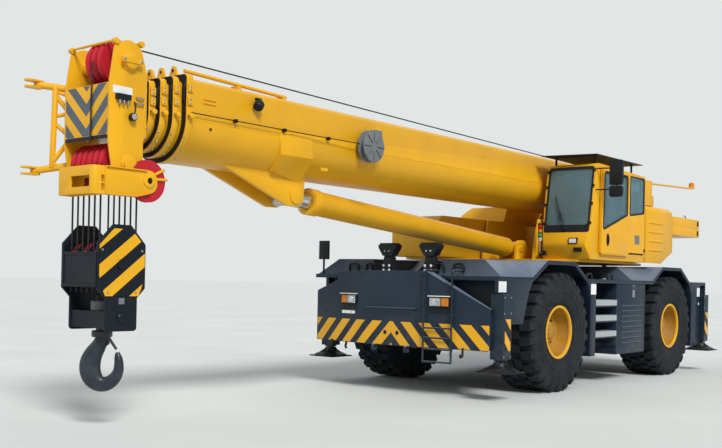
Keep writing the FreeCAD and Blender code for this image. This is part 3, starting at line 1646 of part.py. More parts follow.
def build_hook():
    axis = LOWER_SHEAVE_AXIS
    fall = SHEAVE_RADIUS - SHEAVE_GROOVE + ROPE_RADIUS + FIT
    falls = []
    for index in range(FALL_SHEAVES):
        y = (index - (FALL_SHEAVES - 1) / 2) * SHEAVE_PITCH
        for side in (-1, 1):
            x = axis.x + side * fall
            falls.append(bar(V(x, y, ROPE_END_Z), V(x, y, axis.z), ROPE_RADIUS))
    save("hoist_ropes", falls)
    half = BLOCK_HALF_WIDTH
    long = BLOCK_HALF_LENGTH
    low_long = BLOCK_LOW_HALF_LENGTH
    cheek = (
        (axis.x - low_long, BLOCK_BOTTOM, 40),
        (axis.x - low_long, 1400),
        (axis.x - long, 1500),
        (axis.x - long, BLOCK_TOP - 200),
        (axis.x - 110, BLOCK_TOP),
        (axis.x + 110, BLOCK_TOP),
        (axis.x + long, BLOCK_TOP - 200),
        (axis.x + long, 1500),
        (axis.x + low_long, 1400),
        (axis.x + low_long, BLOCK_BOTTOM, 40),
    )
    parts = []
    for side in (-1, 1):
        low, high = sorted((side * half, side * (half - BLOCK_PLATE)))
        parts.append(slab(cheek, "xz", low, high))
        low_x, high_x = sorted((axis.x + side * (long - 12), axis.x + side * long))
        parts.append(box(low_x, high_x, -half + 5, half - 5, 1510, 1880))
    parts.append(box(axis.x - low_long + 20, axis.x + low_long - 20, -half + 5, half - 5, 1080, 1260))
    pin = V(0, half + 20, 0)
    centre = V(axis.x, 0, BLOCK_AXIS_Z)
    parts.append(bar(centre - pin, centre + pin, SHEAVE_PIN_RADIUS))
    block = fused(parts)
    shank_bore = HOOK_SHANK_RADIUS + RUNNING
    block = block.cut(bar(V(axis.x, 0, 1040), V(axis.x, 0, 1230), shank_bore))
    save("hook_block", [block])
    save("block_sheaves", [sheave_group(centre, SHEAVE_RADIUS, FALL_SHEAVES)])
    build_hook_forging(V(axis.x, 0, 0))


def build_hook_forging(place):
    """Single hook drawn in the XZ plane, its mouth towards +X, then turned about its shank."""
    ring = HOOK_RING_Z
    reach = HOOK_OUTER_RADIUS
    body = Part.makeCylinder(reach, HOOK_WIDTH, V(0, -HOOK_WIDTH / 2, ring), V(0, 1, 0))
    neck = slab(
        (
            (-reach + 8, ring + 60, 60),
            (-reach + 60, ring + 200, 90),
            (-65, 985),
            (65, 985),
            (50, ring + 150),
            (0, ring),
        ),
        "xz",
        -HOOK_WIDTH / 2,
        HOOK_WIDTH / 2,
    )
    hole = slab(
        ((-10, 545, 60), (0, 770, 40), (90, 770, 40), (145, 600, 60), (110, 545, 50)), "xz", -100, 100
    )
    mouth = slab(((48, 700), (48, 1000), (330, 1000), (168, 836), (142, 690)), "xz", -100, 100)
    forging = fused([body, neck]).cut([hole, mouth])
    profile = (
        (HOOK_WIDTH / 2 - 25, 330),
        (HOOK_WIDTH / 2, 400, 60),
        (HOOK_WIDTH / 2 - 5, 900),
        (HOOK_WIDTH / 2 - 5, 1000),
        (5 - HOOK_WIDTH / 2, 1000),
        (5 - HOOK_WIDTH / 2, 900),
        (-HOOK_WIDTH / 2, 400, 60),
        (25 - HOOK_WIDTH / 2, 330),
    )
    forging = forging.common(slab(profile, "yz", -400, 400))
    parts = [
        forging,
        bar(V(0, 0, 980), V(0, 0, 1225), HOOK_SHANK_RADIUS),
        bar(V(0, 0, 975), V(0, 0, 1045), 110),
        box(62, 80, -22, 22, 800, 980),
        slab(((62, 985), (80, 985), (166, 850), (150, 840)), "xz", -22, 22),
    ]
    hook = fused(parts)
    hook.rotate(V(0, 0, 0), V(0, 0, 1), HOOK_TURN)
    hook.translate(place)
    save("hook", [hook])


def build():
    os.makedirs("parts", exist_ok=True)
    build_wheels()
    build_axles()
    build_frame()
    build_decks()
    build_side_pieces()
    build_engine()
    build_front_panel()
    build_boom_rest()
    build_outriggers()
    build_turntable()
    build_winches()
    build_cab()
    build_cab_mirrors()
    build_covers()
    build_counterweight()
    build_boom()
    build_sheaves()
    build_luff_cylinder()
    build_hook()


build()
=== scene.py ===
import math
import bmesh
import bpy
from mathutils import Matrix, Vector


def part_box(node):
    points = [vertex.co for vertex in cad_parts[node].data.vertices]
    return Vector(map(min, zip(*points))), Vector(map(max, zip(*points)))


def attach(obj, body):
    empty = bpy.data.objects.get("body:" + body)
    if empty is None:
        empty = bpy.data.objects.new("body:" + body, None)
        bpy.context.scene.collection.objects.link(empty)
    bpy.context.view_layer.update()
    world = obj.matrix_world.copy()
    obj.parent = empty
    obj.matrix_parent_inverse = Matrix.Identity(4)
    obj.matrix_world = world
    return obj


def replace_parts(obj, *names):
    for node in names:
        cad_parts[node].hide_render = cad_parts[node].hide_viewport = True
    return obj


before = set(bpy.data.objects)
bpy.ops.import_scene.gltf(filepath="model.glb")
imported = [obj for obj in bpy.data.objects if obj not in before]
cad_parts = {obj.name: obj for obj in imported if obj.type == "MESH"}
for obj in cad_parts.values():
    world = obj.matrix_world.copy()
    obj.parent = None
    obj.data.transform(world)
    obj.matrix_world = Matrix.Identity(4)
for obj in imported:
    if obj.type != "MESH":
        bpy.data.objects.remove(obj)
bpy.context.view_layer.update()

# The mobile crane's looks: materials for the CAD nodes, then small pieces set on them.
# Metres, +X to the boom's tip, +Y to the cab's side and +Z up.

FORWARD, LEFT, UP = Vector((1, 0, 0)), Vector((0, 1, 0)), Vector((0, 0, 1))

# Places shared by several pieces
PROUD = 0.0015
NOSE_X = 1.310
NOSE_WING_X = 1.157
NOSE_FLAT_Y = 0.550
NOSE_SIDE_Y = 1.612
NOSE_SLANT_Y = 0.600
DECK_Z = 1.730
SIDE_Y = 1.700
REAR_X = -6.650
BOOM_SIDE_Y = 0.450
BOOM_TOP_Z = 3.830
BOOM_AXIS_Z = 3.375
HEAD_X = 6.570
HEAD_SIDE_Y = 0.400
BLOCK_X = 6.320
BLOCK_SIDE_Y = 0.330
BLOCK_AXIS_Z = 1.750
SHEAVE_REACH = 0.242
CAB_SIDE_Y = 1.500
CAB_BOOM_SIDE_Y = 0.600
CAB_REAR_X = -4.180
CAB_NOSE_X = -1.948
DOOR_SIDE_Y = 1.555
CORNERS = (
    # name, axle x, side
    ("fl", -0.70, 1),
    ("fr", -0.70, -1),
    ("rl", -4.95, 1),
    ("rr", -4.95, -1),
)
WHEEL_Y = 1.355
AXLE_Z = 0.910
JACKS = (
    # name, x, side
    ("fl", 0.9875, 1),
    ("fr", 0.7425, -1),
    ("rl", -6.4875, 1),
    ("rr", -6.2425, -1),
)
JACK_Y = 1.680
FLOAT_Z = 0.400
ROPE_RADIUS = 0.009

# Colours, linear
YELLOW = (0.77, 0.388, 0.010)
# Darker rim yellow: painted shade for the wheel's deep dish, used on the barrel lining and hub cover
RIM_SHADE_YELLOW = (0.44, 0.205, 0.008)
NAVY = (0.011, 0.022, 0.038)
BLACK = (0.007, 0.009, 0.011)
RUBBER = (0.010, 0.013, 0.016)
RUBBER_DUST = (0.075, 0.078, 0.078)
CRIMSON = (0.46, 0.014, 0.026)
CHEVRON_GREY = (0.085, 0.105, 0.125)
STEEL = (0.50, 0.51, 0.52)
DARK_STEEL = (0.10, 0.10, 0.105)
WHITE = (0.78, 0.78, 0.76)
DUST = (0.30, 0.27, 0.23)
# Lighter blue-grey for up-facing tops: settled dust and a painted sky sheen
TOP_DUST_AND_SHEEN = (0.22, 0.28, 0.37)


# Materials

class Surface:
    """A material's nodes, with short ways to add more of them."""

    def __init__(self, name):
        self.material = bpy.data.materials.new(name)
        self.material.use_nodes = True
        self.tree = self.material.node_tree
        self.shader = self.tree.nodes["Principled BSDF"]

    def fill(self, node, values):
        """Gives a node's inputs their values: another node's output, a number or a colour."""
        for key, value in values.items():
            if isinstance(value, bpy.types.NodeSocket):
                self.tree.links.new(value, node.inputs[key])
            else:
                node.inputs[key].default_value = (*value, 1) if isinstance(value, tuple) else value
        return node

    def add(self, kind, values, output):
        return self.fill(self.tree.nodes.new(kind), values).outputs[output]

    def noise(self, scale, detail=4.0):
        place = self.add("ShaderNodeTexCoord", {}, "Object")
        values = {"Vector": place, "Scale": scale, "Detail": detail, "Roughness": 0.55}
        return self.add("ShaderNodeTexNoise", values, "Fac")

    def height(self, kind, output):
        """The z value of a node's vector."""
        return self.add("ShaderNodeSeparateXYZ", {"Vector": self.add(kind, {}, output)}, "Z")

    def ranged(self, value, low, high, to_low=0, to_high=1):
        values = {"Value": value, "From Min": low, "From Max": high, "To Min": to_low, "To Max": to_high}
        return self.add("ShaderNodeMapRange", values, "Result")

    def times(self, a, b):
        node = self.tree.nodes.new("ShaderNodeMath")
        node.operation = "MULTIPLY"
        return self.fill(node, {0: a, 1: b}).outputs["Value"]

    def mixed(self, factor, a, b):
        """Colour a where factor is 0 and b where it is 1. Inputs 6 and 7 and output 2 are the colours."""
        node = self.tree.nodes.new("ShaderNodeMix")
        node.data_type = "RGBA"
        return self.fill(node, {0: factor, 6: a, 7: b}).outputs[2]

    def drifting(self, colour, darkest, scale, detail=4.0):
        """Colour that drifts to a darker share of itself."""
        darker = tuple(channel * darkest for channel in colour)
        return self.mixed(self.ranged(self.noise(scale, detail), 0.3, 0.7), darker, colour)

    def grain(self, rough, below, above, scale, detail=4.0):
        return self.ranged(self.noise(scale, detail), 0.3, 0.7, rough - below, rough + above)

    def bump(self, scale, detail, strength, distance):
        values = {"Height": self.noise(scale, detail), "Strength": strength, "Distance": distance}
        return self.add("ShaderNodeBump", values, "Normal")

    def finished(self, tone, roughness, values):
        """The material, once its shader has a colour, a roughness and its other inputs."""
        self.fill(self.shader, {"Base Color": tone, "Roughness": roughness, **values})
        return self.material


def painted(name, colour, rough=0.36, dust=0.30, dust_top=1.3, coat=0.05, shine=0.25, top_dust_and_sheen=0.0):
    """Sprayed steel: shade drift, orange peel, road dust low down, and on flat tops a lighter blue-grey that
    is settled dust and a painted sky sheen.
    """
    surface = Surface(name)
    tone = surface.drifting(colour, 0.90, 1.7)
    low = surface.ranged(surface.height("ShaderNodeTexCoord", "Object"), 0.3, dust_top, 1, 0)
    spots = surface.ranged(surface.noise(7.0, 8.0), 0.42, 0.75, 0, dust)
    tone = surface.mixed(surface.times(low, spots), tone, DUST)
    # Up-facing faces turn a lighter blue-grey: settled dust, and a painted sky sheen on the tops
    if top_dust_and_sheen:
        upward = surface.ranged(surface.height("ShaderNodeNewGeometry", "Normal"), 0.45, 0.95, 0, top_dust_and_sheen)
        patches = surface.ranged(surface.noise(3.0, 6.0), 0.25, 0.65, 0.65, 1)
        tone = surface.mixed(surface.times(upward, patches), tone, TOP_DUST_AND_SHEEN)
    return surface.finished(tone, surface.grain(rough, 0.06, 0.08, 22.0, 6.0), {
        "Normal": surface.bump(90.0, 2.0, 0.05, 0.002),
        "Coat Weight": coat,
        "Coat Roughness": 0.12,
        "Specular IOR Level": shine,
    })


def metal(name, colour, rough=0.35, streak=40.0):
    surface = Surface(name)
    tone = surface.drifting(colour, 0.72, streak, 6.0)
    return surface.finished(tone, surface.grain(rough, 0.08, 0.12, streak * 3), {
        "Normal": surface.bump(streak * 4, 3.0, 0.12, 0.001),
        "Metallic": 1.0,
    })


def rubbery(name, colour, rough=0.82, dust=0.20):
    surface = Surface(name)
    tone = surface.mixed(surface.ranged(surface.noise(5.0, 8.0), 0.35, 0.72, 0, dust), colour, RUBBER_DUST)
    return surface.finished(tone, surface.grain(rough, 0.10, 0.08, 30.0), {
        "Normal": surface.bump(160.0, 5.0, 0.25, 0.002),
        "Specular IOR Level": 0.25,
    })


def plastic(name, colour, rough=0.45):
    surface = Surface(name)
    tone = surface.drifting(colour, 0.85, 9.0)
    bump = surface.bump(400.0, 2.0, 0.08, 0.0005)
    return surface.finished(tone, surface.grain(rough, 0.05, 0.08, 50.0), {"Normal": bump})


def glassy(name, colour, weight=0.82, rough=0.03):
    surface = Surface(name)
    tone = surface.drifting(colour, 0.8, 1.2, 2.0)
    return surface.finished(tone, rough, {"Transmission Weight": weight, "IOR": 1.35})


MATERIALS = {
    "yellow": painted("yellow_paint", YELLOW),
    # Rim yellow darkened as painted shade inside the wheel's dish, with road dust on top
    "rim_shade": painted("rim_paint_painted_shade", RIM_SHADE_YELLOW, rough=0.55, dust=0.5, dust_top=2.0, coat=0.0),
    # Navy tops turn a lighter blue-grey: settled dust and a painted sky sheen
    "navy": painted("navy_paint", NAVY, rough=0.40, dust=0.12, top_dust_and_sheen=0.75),
    "black": painted("black_paint", BLACK, rough=0.46, dust=0.15, coat=0.0),
    "forged": painted("forged_paint", (0.012, 0.020, 0.030), rough=0.38, dust=0.12, coat=0.1, shine=0.4),
    "crimson": painted("crimson_paint", CRIMSON, rough=0.40),
    "white": painted("white_plate", WHITE, rough=0.40),
    "grey": painted("grey_paint", (0.16, 0.17, 0.18), rough=0.45),
    "chevron": painted("chevron_grey", CHEVRON_GREY, rough=0.40),
    "block": painted("block_paint", (0.005, 0.009, 0.014), rough=0.45, dust=0.05, shine=0.2),
    "rubber": rubbery("tyre_rubber", RUBBER),
    "trim": rubbery("trim_rubber", (0.008, 0.009, 0.010), rough=0.6, dust=0.1),
    "steel": metal("bare_steel", STEEL),
    "tread_plate": metal("tread_plate", (0.80, 0.82, 0.83), rough=0.5, streak=60.0),
    "chrome": metal("rod_chrome", (0.72, 0.73, 0.74), rough=0.16, streak=12.0),
    "dark_steel": metal("dark_steel", DARK_STEEL, rough=0.45),
    "rope": metal("rope_steel", (0.060, 0.058, 0.055), rough=0.5, streak=120.0),
    "iron": painted("axle_iron", (0.012, 0.013, 0.015), rough=0.6, dust=0.4, dust_top=2.0, coat=0.0),
    "seat": plastic("seat_plastic", (0.012, 0.012, 0.013), rough=0.6),
    "glass": glassy("tinted_glass", (0.30, 0.50, 0.57), weight=0.75),
    "clear": glassy("lamp_glass", (0.92, 0.94, 0.95), weight=0.6, rough=0.08),
    "amber": glassy("amber_lens", (0.95, 0.30, 0.02), weight=0.35, rough=0.15),
    "red": glassy("red_lens", (0.60, 0.02, 0.02), weight=0.25, rough=0.15),
    "green": glassy("green_lens", (0.03, 0.45, 0.10), weight=0.25, rough=0.15),
}


# Outlines and paths

def circle(across, other, count, shift=0.0):
    """Unit vectors spread over a turn from across towards other; shift is a share of a step."""
    angles = [2 * math.pi * (index + shift) / count for index in range(count)]
    return [across * math.cos(angle) + other * math.sin(angle) for angle in angles]


def rectangle(low_u, high_u, low_v, high_v):
    return [(low_u, low_v), (high_u, low_v), (high_u, high_v), (low_u, high_v)]


def arc(before, here, after, radius, steps, limit):
    """Round in place of the corner here; it takes no more than limit, a share of either side."""
    back, ahead = before - here, after - here
    half = back.angle(ahead) / 2
    reach = min(radius / math.tan(half), back.length * limit, ahead.length * limit)
    back.normalize()
    ahead.normalize()
    centre = here + (back + ahead).normalized() * (reach / math.cos(half))
    start, end = here + back * reach - centre, here + ahead * reach - centre
    across, turn = start.cross(end).normalized(), start.angle(end)
    return [centre + Matrix.Rotation(turn * step / steps, 3, across) @ start for step in range(steps + 1)]


def rounded(points, radius):
    """Path with its inner corners drawn as arcs."""
    path = [Vector(point) for point in points]
    result = [path[0]]
    for before, here, after in zip(path, path[1:], path[2:]):
        result += arc(before, here, after, radius, 5, 0.49)
    return result + [path[-1]]


def round_corners(corners, steps):
    """Points of a closed outline whose corners are (u, v, radius)."""
    spots = [Vector((u, v, 0)) for u, v, radius in corners]
    points = []
    for index, corner in enumerate(corners):
        after = spots[(index + 1) % len(spots)]
        points += arc(spots[index - 1], spots[index], after, corner[2], steps, 0.5)
    return points


def drawn_in(corners, gap):
    """The same convex outline with every side moved inwards by gap."""
    spots = [Vector(corner[:2]) for corner in corners]
    moved = []
    for index, here in enumerate(spots):
        back = (spots[index - 1] - here).normalized()
        ahead = (spots[(index + 1) % len(spots)] - here).normalized()
        half = back.angle(ahead) / 2
        spot = here + (back + ahead).normalized() * (gap / math.sin(half))
        moved.append((*spot, max(corners[index][2] - gap, 0.008)))
    return moved


def clipped(polygon, a, b, limit):
    """Part of a 2D polygon where a*u + b*v <= limit."""
    kept = []
    if len(polygon) < 3:
        return kept
    for here, after in zip(polygon, polygon[1:] + polygon[:1]):
        side_here = a * here[0] + b * here[1] - limit
        side_after = a * after[0] + b * after[1] - limit
        if side_here <= 0:
            kept.append(here)
        if side_here * side_after < 0:
            part = side_here / (side_here - side_after)
            kept.append(tuple(h + part * (n - h) for h, n in zip(here, after)))
    return kept


# Mesh tools

def linked(name, data):
    """New object in the scene."""
    thing = bpy.data.objects.new(name, data)
    bpy.context.scene.collection.objects.link(thing)
    return thing


def round_edges(piece, width):
    rounding = piece.modifiers.new("rounding", "BEVEL")
    rounding.width = width
    rounding.segments = 2
    rounding.limit_method = "ANGLE"
    rounding.angle_limit = math.radians(40)


class Piece:
    """Shapes gathered in one mesh; done() makes the object, which rides on a body.

    A shape has the piece's own material unless it is given another.
    """

    def __init__(self, name, body, slot, material):
        self.name, self.body, self.slot = name, body, slot
        self.materials = [material]
        self.bm = bmesh.new()

    def skin(self, loops, material=None, closed=False):
        """Faces through loops of points, with a cap on either end unless the last joins the first.

        A loop of one point is a tip.
        """
        material = material or self.materials[0]
        if material not in self.materials:
            self.materials.append(material)
        size = max(len(loop) for loop in loops)
        rows = []
        for loop in loops:
            row = [self.bm.verts.new(point) for point in loop]
            rows.append(row * (size // len(row)))
        faces = [] if closed else [rows[0][::-1], rows[-1]]
        following = rows[1:] + rows[:1] if closed else rows[1:]
        for near, far in zip(rows, following):
            for index in range(size):
                after = (index + 1) % size
                faces.append((near[index], near[after], far[after], far[index]))
        for face in faces:
            corners = list(dict.fromkeys(face))
            if len(corners) > 2:
                self.bm.faces.new(corners).material_index = self.materials.index(material)

    def prism(self, outline, along, material=None):
        """Closed body between a flat outline and its copy moved by along."""
        near = [Vector(point) for point in outline]
        self.skin((near, [point + Vector(along) for point in near]), material)

    def block(self, low, high, material=None):
        plan = rectangle(low[0], high[0], low[1], high[1])
        self.prism([(x, y, low[2]) for x, y in plan], (0, 0, high[2] - low[2]), material)

    def side_block(self, side, low, high, material=None):
        """Block given for the left side, and mirrored where side is -1."""
        y0, y1 = sorted((side * low[1], side * high[1]))
        self.block((low[0], y0, low[2]), (high[0], y1, high[2]), material)

    def lathe(self, profile, centre, axis, sides=32, material=None, closed=False):
        """Profile of (radius, place along axis) turned about axis; a closed one leaves the middle open."""
        axis = Vector(axis).normalized()
        across = axis.orthogonal().normalized()
        loops = []
        for radius, along in profile:
            middle = Vector(centre) + axis * along
            ways = circle(across, axis.cross(across), sides if radius else 1)
            loops.append([middle + radius * way for way in ways])
        self.skin(loops, material, closed)

    def tube(self, points, radius, material=None, sides=10, bend=0.0):
        """Round tube along a path of points, whose corners may be bent."""
        path = rounded(points, bend) if bend else [Vector(point) for point in points]
        loops = []
        across = (path[1] - path[0]).orthogonal()
        for index, point in enumerate(path):
            way = (path[min(index + 1, len(path) - 1)] - path[max(index - 1, 0)]).normalized()
            across = (across - way * across.dot(way)).normalized()
            loops.append([point + radius * out for out in circle(across, way.cross(across), sides)])
        self.skin(loops, material)

    def bolt(self, place, axis, radius=0.012, material=None):
        """Hexagon head on a washer."""
        height = radius * 0.9
        self.lathe(((radius * 1.5, 0), (radius * 1.5, height * 0.2)), place, axis, 14, material)
        head = ((radius, 0), (radius, height * 0.85), (radius * 0.82, height))
        self.lathe(head, place, axis, 6, material)

    def mirror(self):
        """Copies all the shapes so far to the other side."""
        bm = self.bm
        copy = bmesh.ops.duplicate(bm, geom=bm.verts[:] + bm.edges[:] + bm.faces[:])
        for item in copy["geom"]:
            if isinstance(item, bmesh.types.BMVert):
                item.co.y = -item.co.y

    def done(self, bevel=0.0, sharp=35.0):
        bmesh.ops.recalc_face_normals(self.bm, faces=self.bm.faces)
        for face in self.bm.faces:
            face.smooth = True
        for edge in self.bm.edges:
            if len(edge.link_faces) == 2 and edge.calc_face_angle() > math.radians(sharp):
                edge.smooth = False
        mesh = bpy.data.meshes.new(self.name)
        self.bm.to_mesh(mesh)
        self.bm.free()
        for material in self.materials:
            mesh.materials.append(MATERIALS[material])
        piece = linked(self.name, mesh)
        if bevel:
            round_edges(piece, bevel)
        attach(piece, self.body)
        return piece


def stripes(piece, area, pattern, start, place, along, material=None):
    """Slanting stripes cut to a convex area of (u, v) corners.

    The pattern is (pitch, share of it that is striped, lean in u per v).
    """
    pitch, share, lean = pattern
    us, vs = zip(*area)
    low, rise = min(vs), max(vs) - min(vs)
    turn = sum(a[0] * b[1] - b[0] * a[1] for a, b in zip(area, area[1:] + area[:1]))
    ring = area if turn > 0 else area[::-1]
    first = math.floor((min(us) - abs(lean) * rise - start) / pitch) - 1
    last = math.ceil((max(us) + abs(lean) * rise - start) / pitch) + 1
    for index in range(first, last + 1):
        u, wide, shift = start + index * pitch, pitch * share, lean * rise
        band = [(u, low), (u + wide, low), (u + wide + shift, low + rise), (u + shift, low + rise)]
        for (u0, v0), (u1, v1) in zip(ring, ring[1:] + ring[:1]):
            a, b = v1 - v0, u0 - u1
            band = clipped(band, a, b, a * u0 + b * v0)
        if len(band) > 2:
            piece.prism([place(u, v) for u, v in band], along, material)


def window_frame(piece, outer, inner, place, along, steps=4):
    """Flat band between two outlines with the same count of corners."""
    near, far = [], []
    for corners in (outer, inner):
        edge = [Vector(place(point.x, point.y)) for point in round_corners(corners, steps)]
        near.append(edge)
        far.append([point + Vector(along) for point in edge])
    piece.skin((near[0], far[0], far[1], near[1]), closed=True)


# CAD nodes

def smoothing_group(degrees):
    """Geometry nodes that shade faces smooth and keep edges over the angle sharp."""
    group = bpy.data.node_groups.new("smooth_by_angle", "GeometryNodeTree")
    for way in ("INPUT", "OUTPUT"):
        group.interface.new_socket("Geometry", in_out=way, socket_type="NodeSocketGeometry")
    start = group.nodes.new("NodeGroupInput")
    end = group.nodes.new("NodeGroupOutput")
    faces = group.nodes.new("GeometryNodeSetShadeSmooth")
    edges = group.nodes.new("GeometryNodeSetShadeSmooth")
    edges.domain = "EDGE"
    edges.inputs["Shade Smooth"].default_value = False
    angle = group.nodes.new("GeometryNodeInputMeshEdgeAngle")
    compare = group.nodes.new("FunctionNodeCompare")
    compare.operation = "GREATER_THAN"
    compare.inputs["B"].default_value = math.radians(degrees)
    for source, output, target, socket in (
        (angle, "Unsigned Angle", compare, "A"),
        (compare, "Result", edges, "Selection"),
        (start, "Geometry", faces, "Geometry"),
        (faces, "Geometry", edges, "Geometry"),
        (edges, "Geometry", end, "Geometry"),
    ):
        group.links.new(source.outputs[output], target.inputs[socket])
    return group


LOOKS = (
    # material, bevel, nodes
    ("yellow", 0.005, "cab_shell cab_door side_covers counterweight turntable beacon_arm"),
    ("yellow", 0.004, "boom_base section_2 section_3 section_4 section_5 luff_barrel"),
    ("navy", 0.005, "chassis_frame decks ladders tanks engine_hood front_panel"),
    ("navy", 0.004, "beam_fl beam_fr beam_rl beam_rr"),
    ("black", 0.004, "boom_rest carrier_mirror roof_guard cab_mirrors"),
    ("iron", 0.004, "front_axle rear_axle engine main_drum aux_drum"),
    ("iron", 0.003, "knuckle_fl knuckle_fr knuckle_rl knuckle_rr"),
    ("yellow", 0.003, "rim_fl rim_fr rim_rl rim_rr"),
    ("black", 0.003, "jack_fl jack_fr jack_rl jack_rr"),
    ("grey", 0.003, "cable_reel"),
    ("crimson", 0.0, "upper_sheaves lower_sheaves aux_sheave block_sheaves"),
    ("block", 0.004, "hook_block"),
    ("seat", 0.006, "cab_interior"),
    ("chrome", 0.0, "luff_rod"),
    ("rope", 0.0, "hoist_ropes"),
    ("glass", 0.0, "cab_glass door_glass"),
)


def dress_nodes():
    """Material, rounded edges and smooth shading for every CAD node."""
    smoothing = smoothing_group(38)
    for material, bevel, nodes in LOOKS:
        for node in nodes.split():
            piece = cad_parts[node]
            for material_slot in piece.material_slots:
                material_slot.link = "OBJECT"
                material_slot.material = MATERIALS[material]
            weld = piece.modifiers.new("weld", "WELD")
            weld.merge_threshold = 0.00002
            if bevel:
                flat = piece.modifiers.new("flat", "DECIMATE")
                flat.decimate_type = "DISSOLVE"
                flat.angle_limit = math.radians(0.5)
                round_edges(piece, bevel)
            piece.modifiers.new("smooth", "NODES").node_group = smoothing


# Wheels

TREAD_LUGS = 26
LUG_SLANT = 0.10
CASING = [
    # radius, distance from the tyre's middle
    (0.385, 0.292),
    (0.412, 0.306),
    (0.440, 0.318),
    (0.520, 0.350),
    (0.640, 0.366),
    (0.740, 0.366),
    (0.800, 0.352),
    (0.838, 0.318),
    (0.856, 0.250),
    (0.862, 0.000),
]
LUG_ROWS = (
    # half offset, share of the pitch, stations of (y, top radius, foot radius)
    (0.0, 0.60, ((0.362, 0.800, 0.740), (0.350, 0.868, 0.780), (0.325, 0.905, 0.820),
                 (0.190, 0.908, 0.850), (0.150, 0.908, 0.852))),
    (0.5, 0.56, ((0.135, 0.908, 0.852), (0.015, 0.910, 0.855))),
)
SIDE_RINGS = (
    # radius, distance from the tyre's middle, half width
    (0.455, 0.327, 0.006),
    (0.600, 0.362, 0.005),
    (0.700, 0.368, 0.004),
)
RIM_LINING = (
    # radius, distance from the wheel's middle
    (0.352, 0.290),
    (0.3585, 0.262),
    (0.3015, 0.103),
    (0.170, 0.073),
    (0.153, 0.151),
    (0.130, 0.1515),
    (0.130, 0.149),
    (0.150, 0.147),
    (0.166, 0.069),
    (0.302, 0.099),
    (0.360, 0.262),
    (0.354, 0.290),
)


def build_tyre(corner, axle_x, side):
    """Casing with block lugs: long shoulder blocks each side and shorter ones over the middle."""
    centre = Vector((axle_x, side * WHEEL_Y, AXLE_Z))
    piece = Piece("tread_" + corner, "wheel_" + corner, "tyre_rubber", "rubber")
    profile = CASING + [(radius, -along) for radius, along in CASING[-2::-1]]
    piece.lathe(profile, centre, LEFT, TREAD_LUGS * 3, closed=True)
    pitch = 2 * math.pi / TREAD_LUGS
    for half, stagger in ((1, 0.0), (-1, 0.25)):
        for offset, share, stations in LUG_ROWS:
            width = pitch * share / 2
            for index in range(TREAD_LUGS):
                loops = []
                for y, top, foot in stations:
                    middle = (index + offset + stagger) * pitch + LUG_SLANT * (0.36 - y)
                    narrow = width * 0.88 * (0.80 if y > 0.34 else 1.0)
                    corners = ((foot, -width), (top, -narrow), (top, narrow), (foot, width))
                    loop = []
                    for radius, turn in corners:
                        angle = middle + turn
                        way = Vector((math.sin(angle), 0, math.cos(angle)))
                        loop.append(centre + way * radius + LEFT * half * y)
                    loops.append(loop)
                piece.skin(loops)
        for radius, along, bulk in SIDE_RINGS:
            foot, top = along - 0.008, along + bulk * 0.7
            section = ((-1, foot), (-0.6, top), (0.6, top), (1, foot))
            ring = [(radius + bulk * share, place) for share, place in section]
            piece.lathe(ring, centre, LEFT * half, TREAD_LUGS * 3, closed=True)
    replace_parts(piece.done(sharp=30), "tyre_" + corner)


def build_rim_details(corner, axle_x, side):
    """Barrel lining and hub cover in a darker yellow that is painted shade deep in the wheel's dish, with
    road dust; nut circle and valve.
    """
    centre = Vector((axle_x, side * WHEEL_Y, AXLE_Z))
    out = LEFT * side
    piece = Piece("wheel_nuts_" + corner, "wheel_" + corner, "bare_steel", "dark_steel")
    # The lining, and the hub cover below, take the darker rim yellow: painted shade in the dish
    piece.lathe(RIM_LINING, centre, out, 48, "rim_shade", closed=True)
    for way in circle(UP, FORWARD, 16):
        piece.bolt(centre + way * 0.225 + out * 0.084, out, 0.017)
    cover = ((0.12, 0.145), (0.12, 0.165), (0.105, 0.178), (0.06, 0.182), (0, 0.182))
    piece.lathe(cover, centre, out, 32, "rim_shade")
    for way in circle(UP, FORWARD, 8, 0.5):
        piece.bolt(centre + way * 0.095 + out * 0.176, out, 0.009)
    valve = centre + Vector((0.29, 0, 0.10)) + out * 0.10
    piece.tube((valve, valve + out * 0.05 + Vector((0.02, 0, 0.01))), 0.006, "navy")
    piece.done()


def build_wheels():
    for corner, axle_x, side in CORNERS:
        build_tyre(corner, axle_x, side)
        build_rim_details(corner, axle_x, side)


# Carrier

BUMPER_STRIPES = (0.325, 0.55, -0.944)
STRIPE_START = 0.175
SCREW = ((0.006, 0), (0.004, 0.002), (0, 0.002))


def nose_x(y):
    reach = (abs(y) - NOSE_FLAT_Y) / (NOSE_SIDE_Y - NOSE_FLAT_Y)
    return NOSE_X - max(0.0, reach) * (NOSE_X - NOSE_WING_X)


def nose_top_z(y):
    """Height of the front panel's slanting top edge on the cab's side."""
    return 1.790 - (y - NOSE_SLANT_Y) * (1.790 - 1.270) / (NOSE_SIDE_Y - NOSE_SLANT_Y)


def build_nose_stripes():
    """Bumper band: yellow stripes that fall outwards and meet in an arrow at the middle."""
    piece = Piece("nose_stripes", "carrier", "yellow_paint", "yellow")
    low, high, depth = 0.700, 1.045, 0.003
    start = STRIPE_START + BUMPER_STRIPES[2] * (high - low)
    place = lambda y, z: (nose_x(y) - depth, y, z)
    for y0, y1 in ((0.0, NOSE_FLAT_Y), (NOSE_FLAT_Y, NOSE_SIDE_Y - 0.012)):
        stripes(piece, rectangle(y0, y1, low, high), BUMPER_STRIPES, start, place, FORWARD * (depth + PROUD))
    piece.mirror()
    piece.done()


